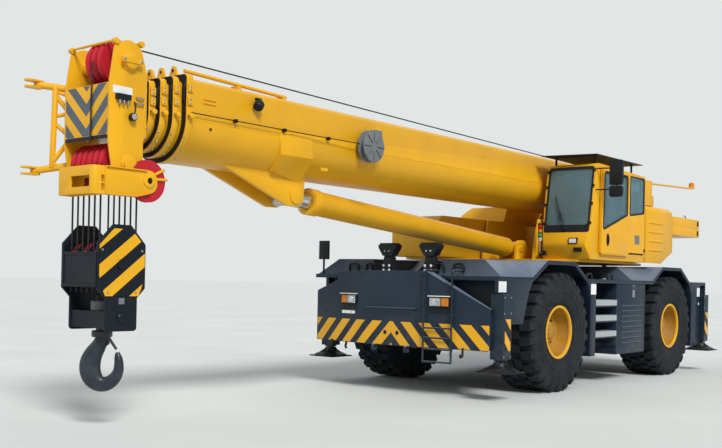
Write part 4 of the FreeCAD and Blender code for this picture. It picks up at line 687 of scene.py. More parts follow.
def build_nose_details():
    """Tow holes and hooks, grab rail, bolts, blank plate and the left wing's flange."""
    piece = Piece("nose_trim", "carrier", "black_paint", "black")
    rail_y, rail_z = 0.45, 1.24
    hole = (NOSE_X, 0.112, 0.88)
    rim = ((0.032, -0.01), (0.032, 0.003), (0.027, 0.003), (0.027, -0.01))
    piece.lathe(rim, hole, FORWARD, 24, "navy", closed=True)
    piece.lathe(((0.027, -0.005), (0.027, 0.002)), hole, FORWARD, 24)
    for y, radius, bend, path in (
        (1.22, 0.016, 0.03, ((1.24, 0.72), (1.24, 0.60), (1.30, 0.585), (1.30, 0.63))),
        (0.98, 0.018, 0.0, ((1.16, 0.70), (1.19, 0.62), (1.17, 0.585))),
    ):
        piece.tube([(x, y, z) for x, z in path], radius, bend=bend)
    piece.block((NOSE_X - 0.002, rail_y - 0.035, 1.215), (NOSE_X + 0.006, rail_y + 0.035, 1.275), "navy")
    for x, y, z, radius in (
        (nose_x(0.80) - 0.001, 0.80, 1.15, 0.009),
        (nose_x(1.10) - 0.001, 1.10, 1.15, 0.009),
        (nose_x(1.40) - 0.001, 1.40, 1.15, 0.009),
        (NOSE_X + 0.006, rail_y - 0.022, 1.262, 0.007),
        (NOSE_X + 0.006, rail_y + 0.022, 1.262, 0.007),
        (NOSE_X, 0.275, 1.735, 0.010),
        (NOSE_X, 0.55, 1.735, 0.010),
    ):
        piece.bolt((x, y, z), FORWARD, radius, "navy")
    piece.mirror()
    piece.bolt((NOSE_X, 0, 1.735), FORWARD, 0.010, "navy")
    near, far = NOSE_X - 0.01, NOSE_X + 0.045
    rail = ((near, -rail_y, rail_z), (far, -rail_y, rail_z), (far, rail_y, rail_z), (near, rail_y, rail_z))
    piece.tube(rail, 0.012, "navy", bend=0.025)
    y0, y1 = -1.015, -0.72
    plate = rectangle(y0, y1, 1.130, 1.226)
    piece.prism([(nose_x(y) - 0.004, y, z) for y, z in plate], (0.008, 0, 0), "white")
    for y in (y0 + 0.015, y1 - 0.015):
        piece.bolt((nose_x(y) + 0.004, y, 1.178), FORWARD, 0.005, "steel")
    flange = []
    for y, near, far in ((NOSE_SLANT_Y, 0, 0.170), (NOSE_SIDE_Y - 0.002, 0.052, 0)):
        x, z = nose_x(y) - 0.001, nose_top_z(y) - 0.002
        flange += [(x - near, y, z), (x - far, y, z)]
    piece.prism(flange, (0, 0, -0.012), "navy")
    piece.done(bevel=0.0015)


def build_front_lamps():
    """Lamp boxes let into the nose's slanting wings: hood, black recess, clear and amber lenses."""
    piece = Piece("front_lamps", "carrier", "black_paint", "black")
    plates = (
        # along the wing from and to, up from and to, out from and to, material
        (-0.200, 0.200, -0.176, 0.082, -0.010, 0.006, "navy"),
        (-0.165, 0.165, -0.160, -0.080, -0.010, 0.012, "black"),
        (-0.165, 0.165, -0.075, 0.075, -0.010, 0.028, "black"),
        (-0.175, 0.175, 0.075, 0.088, -0.010, 0.060, "white"),
        (-0.150, 0.020, -0.058, 0.058, 0.028, 0.040, "clear"),
        (0.035, 0.150, -0.058, 0.058, 0.028, 0.040, "amber"),
    )
    for side in (-1, 1):
        along = Vector((NOSE_WING_X - NOSE_X, side * (NOSE_SIDE_Y - NOSE_FLAT_Y), 0)).normalized()
        out = along.cross(UP) * side
        middle = Vector((nose_x(0.84), side * 0.84, 1.352))
        for a0, a1, z0, z1, o0, o1, material in plates:
            corners = [middle + along * a + UP * z + out * o0 for a, z in rectangle(a0, a1, z0, z1)]
            piece.prism(corners, out * (o1 - o0), material)
        bulb = middle - along * 0.065 + out * 0.038
        piece.lathe(((0.045, 0), (0.050, 0.006), (0.0, 0.010)), bulb, out, 24, "chrome")
    piece.done(bevel=0.003)


def build_side_plates():
    """Blank plates, reflectors and the tank doors' latches on the carrier's sides."""
    piece = Piece("side_plates", "carrier", "yellow_paint", "white")
    plates = (
        # rear x, front x, low z, high z, distance in from the side
        (-1.850, -1.670, 1.485, 1.654, 0.000),
        (-3.330, -3.265, 1.455, 1.530, 0.010),
        (-6.340, -6.200, 1.450, 1.620, 0.000),
    )
    for x0, x1, z0, z1, inset in plates:
        face = SIDE_Y - inset
        piece.block((x0, face - 0.003, z0), (x1, face + 0.003, z1))
        for x, z in ((x0 + 0.012, z0 + 0.012), (x1 - 0.012, z1 - 0.012), (x0 + 0.012, z1 - 0.012)):
            piece.lathe(SCREW, (x, face + 0.003, z), LEFT, 8, "steel")
    piece.lathe(((0.024, 0), (0.024, 0.004), (0, 0.005)), (-6.294, SIDE_Y, 1.309), LEFT, 20)
    face = SIDE_Y - 0.010
    piece.block((-3.345, face - 0.002, 1.440), (-3.250, face + 0.004, 1.650), "steel")
    piece.block((-3.325, face, 1.565), (-3.270, face + 0.012, 1.635), "black")
    lock = ((0.016, 0), (0.016, 0.006), (0, 0.007))
    piece.lathe(lock, (-3.2975, face + 0.012, 1.60), LEFT, 16, "steel")
    piece.mirror()
    for corner, x, side in JACKS[:2]:
        piece.side_block(side, (x - 0.122, 1.640, 1.500), (x + 0.122, SIDE_Y, 1.672), "navy")
        piece.side_block(side, (x - 0.085, SIDE_Y - 0.002, 1.510), (x + 0.115, SIDE_Y + 0.003, 1.662))
    piece.done(bevel=0.001)


def build_steps():
    """Bright chequered treads and nosings on the ladders."""
    piece = Piece("step_treads", "carrier", "bare_steel", "tread_plate")
    stud = ((0.014, 0), (0.010, 0.004), (0, 0.004))
    rear_x, front_x, inner_y, thick = -2.63, -1.87, 1.46, 0.006
    for top in (0.88, 1.14, 1.39):
        piece.block((rear_x, inner_y, top), (front_x, SIDE_Y, top + thick))
        piece.block((rear_x, SIDE_Y - 0.008, top - 0.085), (front_x, SIDE_Y, top))
        for index in range(9):
            for y in (1.50, 1.56, 1.62):
                piece.lathe(stud, (rear_x + 0.05 + index * 0.083, y, top + thick), UP, 8)
    piece.mirror()
    piece.done(bevel=0.0015)


def build_deck_rails():
    """Bent hand loops on feet: along the deck's edge by the ladders, and across the front deck."""
    piece = Piece("deck_rails", "carrier", "black_paint", "black")
    loops = (
        # x, y, step from the middle to a foot, height
        (-1.69, 1.655, (0.085, 0), 1.815),
        (-2.44, 1.655, (0.085, 0), 1.815),
        (1.02, 0.64, (0, 0.09), 1.900),
        (1.02, 0.98, (0, 0.09), 1.900),
    )
    foot = ((0.030, 0), (0.030, 0.008), (0.016, 0.010))
    for x, y, (dx, dy), top in loops:
        a, b = Vector((x - dx, y - dy, DECK_Z)), Vector((x + dx, y + dy, DECK_Z))
        rise = UP * (top - DECK_Z)
        piece.tube((a, a + rise, b + rise, b), 0.016, bend=0.055)
        for end in (a, b):
            piece.lathe(foot, end, UP, 14)
    piece.mirror()
    piece.done()


def build_rest_details():
    """Flared pads, ribs and bolts on the boom rest's two posts."""
    piece = Piece("rest_pads", "carrier", "black_paint", "black")
    y, rear_x, face_x = 0.39, 0.800, 0.955
    flare = (
        # distance from the post's middle, z
        (-0.085, 2.02),
        (-0.170, 2.15),
        (-0.170, 2.19),
        (0.170, 2.19),
        (0.170, 2.15),
        (0.085, 2.02),
    )
    foot = ((-0.10, 1.74), (0.10, 1.74), (0.06, 1.93), (-0.06, 1.93))
    piece.prism([(rear_x, y + a, z) for a, z in flare], (0.150, 0, 0))
    piece.prism([(face_x, y + a, z) for a, z in foot], (0.004, 0, 0))
    for reach, z, radius in ((0.055, 1.80, 0.015), (0.055, 1.87, 0.015), (0.040, 2.09, 0.008)):
        for a in (-reach, reach):
            piece.bolt((face_x + 0.002, y + a, z), FORWARD, radius, "white")
    piece.mirror()
    piece.done(bevel=0.003)


def build_nose_ladder():
    """Bent ladder on the nose's left wing: rails hooked over the deck's edge, rungs low down."""
    piece = Piece("nose_ladder", "carrier", "navy_paint", "navy")
    stand, hook_z, foot_z = 0.045, 1.80, 0.485
    rails = (0.61, 1.05)
    for y in rails:
        x = nose_x(y) + stand
        piece.tube(((1.00, y, DECK_Z), (1.00, y, hook_z), (x, y, hook_z), (x, y, foot_z)), 0.014, bend=0.05)
        piece.tube(((x, y, 1.16), (nose_x(y) - 0.01, y, 1.16)), 0.012, sides=12)
    for z in (0.98, 0.84, 0.68, 0.50):
        piece.tube([(nose_x(y) + stand, y, z) for y in rails], 0.013)
    piece.done()


def build_tank_ribs():
    """Pressed ribs on the side tanks' doors and a filler cap on the deck above."""
    piece = Piece("tank_ribs", "carrier", "navy_paint", "navy")
    near, far = 1.688, 1.698
    for index in range(8):
        z = 0.66 + index * 0.09
        rib = ((near, z - 0.018), (far, z - 0.006), (far, z + 0.006), (near, z + 0.018))
        piece.prism([(-2.84, y, height) for y, height in rib], (-0.83, 0, 0))
    cap = ((0.05, 0), (0.05, 0.02), (0.042, 0.028), (0, 0.028))
    piece.lathe(cap, (-2.95, 1.30, DECK_Z), UP, 24, "steel")
    piece.mirror()
    piece.done(bevel=0.001)


def build_rear_details():
    """Rear lamps, striped band, blank plates and tow loops."""
    piece = Piece("rear_trim", "carrier", "black_paint", "black")
    x = REAR_X
    lens = ((0.050, 0), (0.050, 0.012), (0.040, 0.022), (0, 0.024))
    piece.block((x - 0.03, 1.18, 1.30), (x + 0.002, 1.58, 1.44))
    for y, material in ((1.26, "red"), (1.38, "amber"), (1.50, "red")):
        piece.lathe(lens, (x - 0.028, y, 1.37), -FORWARD, 24, material)
    area = rectangle(0.05, 1.58, 0.72, 1.00)
    place = lambda y, z: (x + 0.002, y, z)
    stripes(piece, area, BUMPER_STRIPES, STRIPE_START, place, (-0.004, 0, 0), "yellow")
    piece.block((x - 0.004, 0.30, 1.18), (x + 0.001, 0.50, 1.26), "white")
    loop = ((x, 0.8, 0.78), (x - 0.07, 0.8, 0.72), (x - 0.07, 1.0, 0.72), (x, 1.0, 0.78))
    piece.tube(loop, 0.016, bend=0.03)
    piece.mirror()
    piece.done(bevel=0.002)


def build_hood_details():
    """Grille bars on the engine hood's sides, exhaust stub and corner bolts."""
    low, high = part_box("engine_hood")
    piece = Piece("hood_trim", "carrier", "black_paint", "black")
    count, margin = 9, 0.18
    pitch = (high.x - low.x - 2 * margin) / (count - 1)
    for index in range(count):
        x = low.x + margin + index * pitch
        piece.block((x - 0.035, high.y - 0.004, low.z + 0.06), (x + 0.035, high.y + 0.004, high.z - 0.08))
    piece.mirror()
    x, y, top = low.x + 0.35, low.y + 0.18, high.z
    stub = ((x, y, top - 0.02), (x, y, top + 0.12), (x - 0.14, y, top + 0.16))
    piece.tube(stub, 0.05, "dark_steel", 20, bend=0.05)
    for x in (low.x + 0.16, high.x - 0.16):
        for y in (low.y + 0.08, high.y - 0.08):
            piece.bolt((x, y, top), UP, 0.014, "steel")
    piece.done(bevel=0.002)


# Outriggers

def build_jack_boxes():
    """Square box round each jack's tube, with the striped plate on its outer face."""
    half, reach, low, high = 0.105, 0.075, 0.70, 1.14
    outer = JACK_Y + half
    for corner, x, side in JACKS:
        piece = Piece("jack_box_" + corner, "beam_" + corner, "navy_paint", "navy")
        piece.side_block(side, (x - half, JACK_Y - half, 0.580), (x + half, outer, 1.486))
        piece.side_block(side, (x - reach, outer - 0.002, low), (x + reach, outer + 0.004, high), "black")
        area = rectangle(x - reach, x + reach, low, high)
        place = lambda u, v, face=side * (outer + 0.004): (u, face, v)
        stripes(piece, area, (0.30, 0.5, 0.9), x - 0.18, place, LEFT * side * PROUD, "yellow")
        for dx in (-0.085, 0.085):
            for z in (0.62, 1.22, 1.44):
                piece.bolt((x + dx, side * outer, z), LEFT * side, 0.009, "steel")
        piece.done(bevel=0.006)


def build_float_details():
    """Square foot plate under each jack, black cone over the disc, and ribs between them."""
    cone = (
        # radius, height over the float's underside
        (0.0595, 0.012),
        (0.2597, 0.012),
        (0.2597, 0.031),
        (0.2020, 0.057),
        (0.1120, 0.087),
        (0.0868, 0.147),
        (0.0595, 0.147),
    )
    reach, cut = 0.258, 0.030
    for corner, x, side in JACKS:
        piece = Piece("float_trim_" + corner, "jack_" + corner, "black_paint", "black")
        foot = Vector((x, side * JACK_Y, FLOAT_Z))
        plan = []
        for a, b in ((1, 1), (-1, 1), (-1, -1), (1, -1)):
            ends = [(a * reach, b * (reach - cut)), (a * (reach - cut), b * reach)]
            plan += ends if a * b > 0 else ends[::-1]
        piece.prism([foot + Vector((a, b, 0.0005)) for a, b in plan], UP * 0.016)
        piece.lathe(cone, foot, UP, 40, closed=True)
        for way in circle(LEFT, FORWARD, 8, 0.5):
            across = UP.cross(way) * 0.006
            start = foot + way * 0.08 + UP * 0.050 - across
            piece.prism((start, start + way * 0.16 - UP * 0.02, start + UP * 0.080), across * 2)
        piece.done(bevel=0.001)


# Boom

SECTIONS = (
    # body, front x, half width, half height, those of the tube inside
    ("boom_base", 5.630, 0.450, 0.455, 0.405, 0.410),
    ("section_2", 5.780, 0.405, 0.410, 0.365, 0.370),
    ("section_3", 5.920, 0.365, 0.370, 0.325, 0.330),
    ("section_4", 6.040, 0.325, 0.330, 0.285, 0.290),
)


def build_boom_details():
    """Weld seam, caps, handles and rope guides on the base section."""
    piece = Piece("boom_trim", "boom_base", "yellow_paint", "yellow")
    cap = ((0.022, -0.002), (0.022, 0.005), (0.014, 0.007), (0, 0.007))
    lock = ((0.016, 0), (0.016, 0.006), (0, 0.007))
    face = BOOM_SIDE_Y
    piece.block((-4.6, face - 0.003, 3.368), (5.50, face + 0.0035, 3.374))
    for x in (-2.2, -0.4, 1.4, 4.6):
        piece.lathe(cap, (x, face, 3.64), LEFT, 18)
    for z in (3.575, 3.62):
        piece.block((5.18, face - 0.002, z), (5.36, face + 0.014, z + 0.012))
    piece.lathe(lock, (5.25, face, 3.30), LEFT, 14, "black")
    piece.block((3.30, face, 3.02), (3.42, face + 0.030, 3.06))
    piece.mirror()
    roller = ((0.02, -0.03), (0.014, -0.01), (0.014, 0.01), (0.02, 0.03))
    for index in range(9):
        x = -4.4 + index * 1.2
        piece.block((x - 0.05, 0.06, BOOM_TOP_Z), (x + 0.05, 0.14, BOOM_TOP_Z + 0.02), "black")
        piece.lathe(roller, (x, 0.10, BOOM_TOP_Z + 0.04), LEFT, 16, "steel")
    piece.done(bevel=0.002)


def build_collar_details():
    """Pads, keeper bolts, locking pins and hoses round each front collar, and its wiper."""
    pin = ((0.030, 0), (0.030, 0.05), (0.022, 0.058), (0, 0.058))
    eye = ((0.018, 0), (0.018, 0.006), (0, 0.006))
    for body, x, half, rise, inner_half, inner_rise in SECTIONS:
        piece = Piece("collar_trim_" + body, body, "yellow_paint", "yellow")
        top, face = BOOM_AXIS_Z + rise, half + 0.036
        for z in (BOOM_AXIS_Z + rise * 0.72, BOOM_AXIS_Z + rise * 0.40):
            piece.block((x - 0.075, face - 0.004, z - 0.04), (x - 0.008, face + 0.020, z + 0.04))
            for dz in (-0.022, 0.022):
                piece.bolt((x - 0.042, face + 0.020, z + dz), LEFT, 0.009, "steel")
        pin_z, out = BOOM_AXIS_Z + 0.02, face + 0.028
        piece.lathe(pin, (x - 0.045, face, pin_z), LEFT, 18)
        piece.tube(((x - 0.078, out, pin_z), (x - 0.002, out, pin_z)), 0.012, "steel", 12)
        for turn in (0.27, 0.54, 0.81):
            y = (half + 0.026) * math.cos(turn)
            z = BOOM_AXIS_Z - 0.06 - (rise - 0.02) * math.sin(turn * 1.33)
            piece.bolt((x - 0.001, y, z), FORWARD, 0.010, "steel")
        y, near, far = half + 0.012, x - 0.002, x + 0.022
        hose = ((near, y, top - 0.06), (far, y, top - 0.12), (far, y, top - 0.24))
        piece.tube(hose, 0.011, "black", bend=0.02)
        piece.tube(((near, y, top - 0.30), (far, y, top - 0.24)), 0.011, "black")
        piece.lathe(eye, (x - 0.030, half * 0.45, top + 0.10), FORWARD, 16, "black")
        piece.mirror()
        piece.done(bevel=0.002)
        wiper = Piece("wiper_" + body, body, "black_paint", "trim")
        rings = []
        for wide, high, low in (
            (half + 0.028, rise + 0.028, rise + 0.008),
            (inner_half + 0.003, inner_rise + 0.003, inner_rise + 0.003),
        ):
            top, bottom, bend = BOOM_AXIS_Z + high, BOOM_AXIS_Z - low, wide - 0.002
            rings.append(((-wide, top, 0.05), (wide, top, 0.05), (wide, bottom, bend), (-wide, bottom, bend)))
        window_frame(wiper, *rings, lambda u, v, x=x: (x, u, v), (0.006, 0, 0), 14)
        wiper.done()


def build_boom_top():
    """Hoist rope along the boom's back, one stretch a section, and the folded rod beside it."""
    rear, front = Vector((-4.90, 0.10, 3.905)), Vector((6.33, 0.10, 4.100))
    fronts = [(section[0], section[1]) for section in SECTIONS] + [("section_5", front.x)]
    rear_x = rear.x
    for body, front_x in fronts:
        piece = Piece("rope_run_" + body, body, "rope_steel", "rope")
        ends = [rear.lerp(front, (x - rear.x) / (front.x - rear.x)) for x in (rear_x, front_x)]
        piece.tube(ends, ROPE_RADIUS, sides=8)
        piece.done()
        rear_x = front_x
    drop = Piece("rope_drop", "section_5", "rope_steel", "rope")
    drop.tube(((6.574, 0.10, 3.87), (6.582, 0.10, 3.50), (6.582, 0.10, 3.02)), ROPE_RADIUS, sides=8)
    drop.done()
    rod = Piece("boom_top_rod", "boom_base", "yellow_paint", "yellow")
    rod.tube(((3.95, 0.34, 3.875), (5.52, 0.30, 3.93)), 0.022, sides=12)
    for x in (4.00, 4.75, 5.48):
        rod.block((x - 0.03, 0.25, BOOM_TOP_Z - 0.002), (x + 0.03, 0.37, BOOM_TOP_Z + 0.05))
    rod.block((4.50, 0.37, 3.74), (4.58, 0.49, 3.76), "black")
    shade = ((0.05, 0), (0.062, 0.02), (0.062, 0.08), (0.05, 0.10), (0, 0.10))
    rod.lathe(shade, (4.54, 0.50, 3.70), (0.6, 0.3, -0.6), 24, "black")
    rod.done(bevel=0.002)


def build_reel_details():
    """Spokes on the cable reel, its box, and the cable with its clips."""
    piece = Piece("reel_trim", "boom_base", "black_paint", "grey")
    centre = Vector((2.543, 0.630, 3.426))
    for way in circle(UP, FORWARD, 8):
        piece.tube((centre + way * 0.06, centre + way * 0.205), 0.008, sides=8)
    piece.block((2.30, 0.448, 3.50), (2.44, 0.56, 3.66))
    cable = ((2.75, 0.54, 3.44), (3.6, 0.50, 3.44), (5.4, 0.49, 3.44), (5.56, 0.49, 3.44))
    piece.tube(cable, 0.006, "black", bend=0.05)
    for x in (3.3, 4.1, 4.9):
        piece.block((x - 0.015, 0.448, 3.42), (x + 0.015, 0.505, 3.46), "black")
    piece.done(bevel=0.002)


def build_head_chevrons():
    """Dark chevrons pointing down on the head's front plate."""
    piece = Piece("head_chevrons", "section_5", "yellow_paint", "chevron")
    low, high, half_width = 3.090, 3.615, 0.375
    slope, pitch, share = 0.92, 0.262, 0.50
    rise, tall = slope * half_width, pitch * share
    for index in range(-2, 3):
        apex = 3.035 + index * pitch
        band = [(0.0, apex), (half_width, apex + rise), (half_width, apex + rise + tall), (0.0, apex + tall)]
        band = clipped(clipped(band, 0, 1, high), 0, -1, -low)
        if len(band) > 2:
            piece.prism([(HEAD_X - 0.001, y, z) for y, z in band], (PROUD + 0.001, 0, 0))
    piece.mirror()
    piece.done()


def build_head_details():
    """Pin bosses with keeper bars, switch box, lamp, rope keepers and jib braces on the head."""
    piece = Piece("head_trim", "section_5", "yellow_paint", "yellow")
    y, keeper_half = HEAD_SIDE_Y, 0.39
    keepers = ((6.50, 4.062), (6.18, 4.084))
    boss = ((0.105, 0), (0.105, 0.012), (0.085, 0.020), (0.085, 0.05), (0.070, 0.06), (0, 0.06))
    low_boss = ((0.095, 0), (0.095, 0.012), (0.075, 0.02), (0.075, 0.04), (0, 0.045))
    keeper_end = ((0.030, -0.030), (0.034, -0.010), (0.034, 0.010), (0.030, 0.030))
    piece.lathe(boss, (6.33, y, 3.87), LEFT)
    piece.lathe(low_boss, (6.32, y, 2.80), LEFT)
    piece.block((6.20, y + 0.05, 3.845), (6.46, y + 0.07, 3.895))
    for x in (6.225, 6.435):
        piece.bolt((x, y + 0.07, 3.87), LEFT, 0.012, "steel")
    for x, z in keepers:
        piece.lathe(keeper_end, (x, keeper_half, z - 0.01), LEFT, 20)
    piece.mirror()
    for x, z in keepers:
        piece.tube(((x, -keeper_half, z), (x, keeper_half, z)), 0.014, sides=12)
    piece.block((HEAD_X - 0.004, -0.375, 3.045), (HEAD_X + 0.003, 0.375, 3.085), "black")
    piece.block((6.29, y - 0.002, 3.515), (6.53, y + 0.006, 3.595), "white")
    piece.block((6.33, y - 0.002, 3.455), (6.50, y + 0.05, 3.512), "black")
    for x in (6.36, 6.41, 6.46):
        piece.lathe(((0.012, 0), (0.012, 0.05), (0.008, 0.055)), (x, y + 0.03, 3.46), -UP, 10, "steel")
    lamp = (6.30, y, 3.29)
    body = ((0.030, 0), (0.042, 0.02), (0.042, 0.06), (0.034, 0.065), (0, 0.065))
    piece.lathe(body, lamp, LEFT, 24, "black")
    piece.lathe(((0.034, 0.062), (0.030, 0.070), (0, 0.073)), lamp, LEFT, 24, "clear")
    piece.tube(((6.26, y, 3.46), (6.26, y + 0.03, 3.40), (6.28, y + 0.03, 3.30)), 0.007, "black", bend=0.03)
    piece.block((6.125, 0.285, 3.42), (6.19, 0.36, 3.52), "white")
    for z in (3.44, 3.50):
        hose = ((6.15, 0.34, z), (6.15, 0.425, z), (6.24, 0.425, z), (6.24, 0.39, z))
        piece.tube(hose, 0.010, "steel", bend=0.02)
    plate_y = 0.471
    flanges = (
        # along the plate's edges: x and z from, x and z to
        (6.140, 2.738, 6.640, 2.738),
        (6.270, 2.460, 6.640, 2.460),
        (6.090, 2.506, 6.270, 2.460),
    )
    for x0, z0, x1, z1 in flanges:
        strip = ((x0, z0), (x1, z1), (x1, z1 + 0.012), (x0, z0 + 0.012))
        piece.prism([(x, plate_y - 0.004, z) for x, z in strip], (0, 0.026, 0))
    hub = (6.100, plate_y, 2.640)
    hub_ring = ((0.075, -0.002), (0.075, 0.010), (0.060, 0.018), (0.034, 0.018), (0.034, 0.004))
    piece.lathe(hub_ring, hub, LEFT)
    piece.lathe(((0.034, 0.0), (0.034, 0.006)), hub, LEFT, 32, "black")
    for x0, z0, x1, z1 in ((6.02, 2.715, 5.90, 2.775), (6.00, 2.665, 5.86, 2.672)):
        piece.tube(((x0, plate_y - 0.010, z0), (x1, plate_y - 0.010, z1)), 0.016, sides=12)
    inner_y, outer_y = -0.398, -0.630
    braces = (
        # outer z, inner x, inner z, radius
        (3.36, 6.27, 3.44, 0.022),
        (3.30, 6.27, 2.96, 0.024),
        (2.84, 6.30, 2.76, 0.020),
        (3.64, 6.30, 3.52, 0.020),
    )
    for outer_z, inner_x, inner_z, radius in braces:
        piece.tube(((6.56, outer_y, outer_z), (inner_x, inner_y, inner_z)), radius, sides=14)
    piece.done(bevel=0.003)


# Hook and block

HOOK_TURN = Matrix.Rotation(math.radians(130), 3, "Z")
HOOK_PATH = (
    # x, z, half width in the hook's plane, half depth across it
    (0.000, 1.000, 0.065, 0.060),
    (-0.006, 0.940, 0.070, 0.062),
    (-0.038, 0.870, 0.082, 0.064),
    (-0.084, 0.795, 0.097, 0.065),
    (-0.116, 0.710, 0.110, 0.065),
    (-0.120, 0.620, 0.112, 0.065),
    (-0.088, 0.535, 0.106, 0.064),
    (-0.020, 0.478, 0.088, 0.060),
    (0.065, 0.478, 0.076, 0.055),
    (0.136, 0.528, 0.068, 0.052),
    (0.180, 0.605, 0.056, 0.048),
    (0.187, 0.690, 0.049, 0.044),
    (0.178, 0.765, 0.039, 0.036),
    (0.168, 0.815, 0.020, 0.020),
)


def leaning_up(degrees):
    """Unit vector in the boom's plane, turned up from forward."""
    angle = math.radians(degrees)
    return Vector((math.cos(angle), 0, math.sin(angle)))


def build_block_stripes():
    """Striped plates on the hook block's cheeks, pin caps, and the frame between the cheeks."""
    piece = Piece("block_stripes", "hook_block", "yellow_paint", "yellow")
    half_area = [
        # distance from the block's middle, z
        (0.210, 1.420),
        (0.245, 1.500),
        (0.285, 1.640),
        (0.285, 1.950),
        (0.110, 2.125),
    ]
    area = half_area + [(-u, z) for u, z in half_area[::-1]]
    low = BLOCK_SIDE_Y - 0.001
    face = low + 0.006
    piece.prism([(BLOCK_X + u, low, z) for u, z in area], LEFT * 0.007, "block")
    stripes(piece, area, (0.400, 0.47, -1.30), 0.12, lambda u, z: (BLOCK_X + u, face, z), LEFT * 0.0025)
    for u, z in ((0.175, 1.455), (0.250, 1.90)):
        for x in (BLOCK_X - u, BLOCK_X + u):
            piece.bolt((x, face + 0.002, z), LEFT, 0.009, "steel")
    cap = ((0.055, 0), (0.055, 0.016), (0.042, 0.026), (0, 0.026))
    piece.lathe(cap, (BLOCK_X, BLOCK_SIDE_Y, 1.19), LEFT, 28, "block")
    near, far = BLOCK_SIDE_Y - 0.002, BLOCK_SIDE_Y + 0.004
    piece.block((BLOCK_X - 0.035, near, 1.335), (BLOCK_X + 0.035, far, 1.40), "grey")
    centre = Vector((BLOCK_X, 0, BLOCK_AXIS_Z))
    guard_y, inner, outer = 0.094, SHEAVE_REACH + 0.008, SHEAVE_REACH + 0.050
    ways = [leaning_up(25 + 130 * step / 16) for step in range(17)]
    arch = [centre + way * inner for way in ways] + [centre + way * outer for way in ways[::-1]]
    piece.prism([point + LEFT * guard_y for point in arch], LEFT * 0.012, "block")
    piece.mirror()
    frame_y = 0.31
    for way in (-1, 1):
        x0, x1 = sorted((BLOCK_X + way * 0.296, BLOCK_X + way * 0.308))
        for y0, y1, z0, z1 in (
            (-frame_y, frame_y, 1.845, 1.880),
            (-frame_y, frame_y, 1.510, 1.545),
            (-frame_y, -0.275, 1.545, 1.845),
            (0.275, frame_y, 1.545, 1.845),
        ):
            piece.block((x0, y0, z0), (x1, y1, z1), "block")
    for degrees in (35, 90, 145):
        spot = centre + leaning_up(degrees) * (inner + 0.02)
        piece.tube((spot - LEFT * 0.312, spot + LEFT * 0.312), 0.010, "block", 12)
    piece.done(bevel=0.0015)
    swivel = Piece("hook_swivel", "hook", "block_paint", "grey")
    middle = (BLOCK_X, 0, 0)
    swivel.lathe(((0.125, 1.262), (0.125, 1.355), (0.115, 1.365)), middle, UP, 40)
    swivel.lathe(((0.085, 1.365), (0.085, 1.430), (0.070, 1.440)), middle, UP, 32, "block")
    swivel.lathe(((0.070, 1.440), (0.070, 1.490), (0.055, 1.500)), middle, UP, 32, "block")
    swivel.done(bevel=0.002)


def hook_place(x, y, z):
    """Point of the hook's own frame, its mouth towards +X, in the crane's frame."""
    return Vector((BLOCK_X, 0, 0)) + HOOK_TURN @ Vector((x, y, z))


def eased(rows, place):
    """Catmull-Rom value between rows of a table, at a place counted in rows."""
    index = min(int(place), len(rows) - 2)
    t = place - index
    a, b, c, d = [Vector(rows[min(max(index + step, 0), len(rows) - 1)]) for step in (-1, 0, 1, 2)]
    bend, twist = 2 * a - 5 * b + 4 * c - d, 3 * b - a - 3 * c + d
    return 0.5 * (2 * b + (c - a) * t + bend * t ** 2 + twist * t ** 3)


def squared(value):
    """Sine or cosine of a section that is slightly squarer than a circle."""
    return math.copysign(abs(value) ** 0.85, value)


def build_hook():
    """Forged hook with a round body that tapers to its point, its nut and its safety latch."""
    piece = Piece("forged_hook", "hook", "block_paint", "forged")
    sides, per_row = 28, 4
    count = (len(HOOK_PATH) - 1) * per_row + 1
    rows = [eased(HOOK_PATH, index / per_row) for index in range(count)]
    loops = []
    for index, (x, z, half, depth) in enumerate(rows):
        after, before = rows[min(index + 1, count - 1)], rows[max(index - 1, 0)]
        way = Vector((after[0] - before[0], after[1] - before[1])).normalized()
        loop = []
        for step in range(sides):
            angle = 2 * math.pi * step / sides
            out, side = half * squared(math.cos(angle)), depth * squared(math.sin(angle))
            loop.append(hook_place(x - way.y * out, side, z + way.x * out))
        loops.append(loop)
    piece.skin(loops)
    middle = (BLOCK_X, 0, 0)
    piece.lathe(((0.065, 0.985), (0.065, 1.225)), middle, UP, 40)
    piece.lathe(((0.100, 0.975), (0.110, 0.985), (0.110, 1.038), (0.100, 1.045)), middle, UP, 40)
    latch_y = -0.022
    across = hook_place(0, -2 * latch_y, 0) - hook_place(0, 0, 0)
    latch = ((0.062, 0.980), (0.080, 0.980), (0.166, 0.850), (0.150, 0.840), (0.070, 0.955))
    lug = ((0.050, 0.880), (0.080, 0.900), (0.080, 0.980), (0.050, 0.980))
    for outline, material in ((latch, "dark_steel"), (lug, "forged")):
        piece.prism([hook_place(x, latch_y, z) for x, z in outline], across, material)
    piece.lathe(((0.014, 0), (0.014, 0.056)), hook_place(0.072, -0.028, 0.965), across, 16, "dark_steel")
    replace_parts(piece.done(sharp=50), "hook")


# Cab

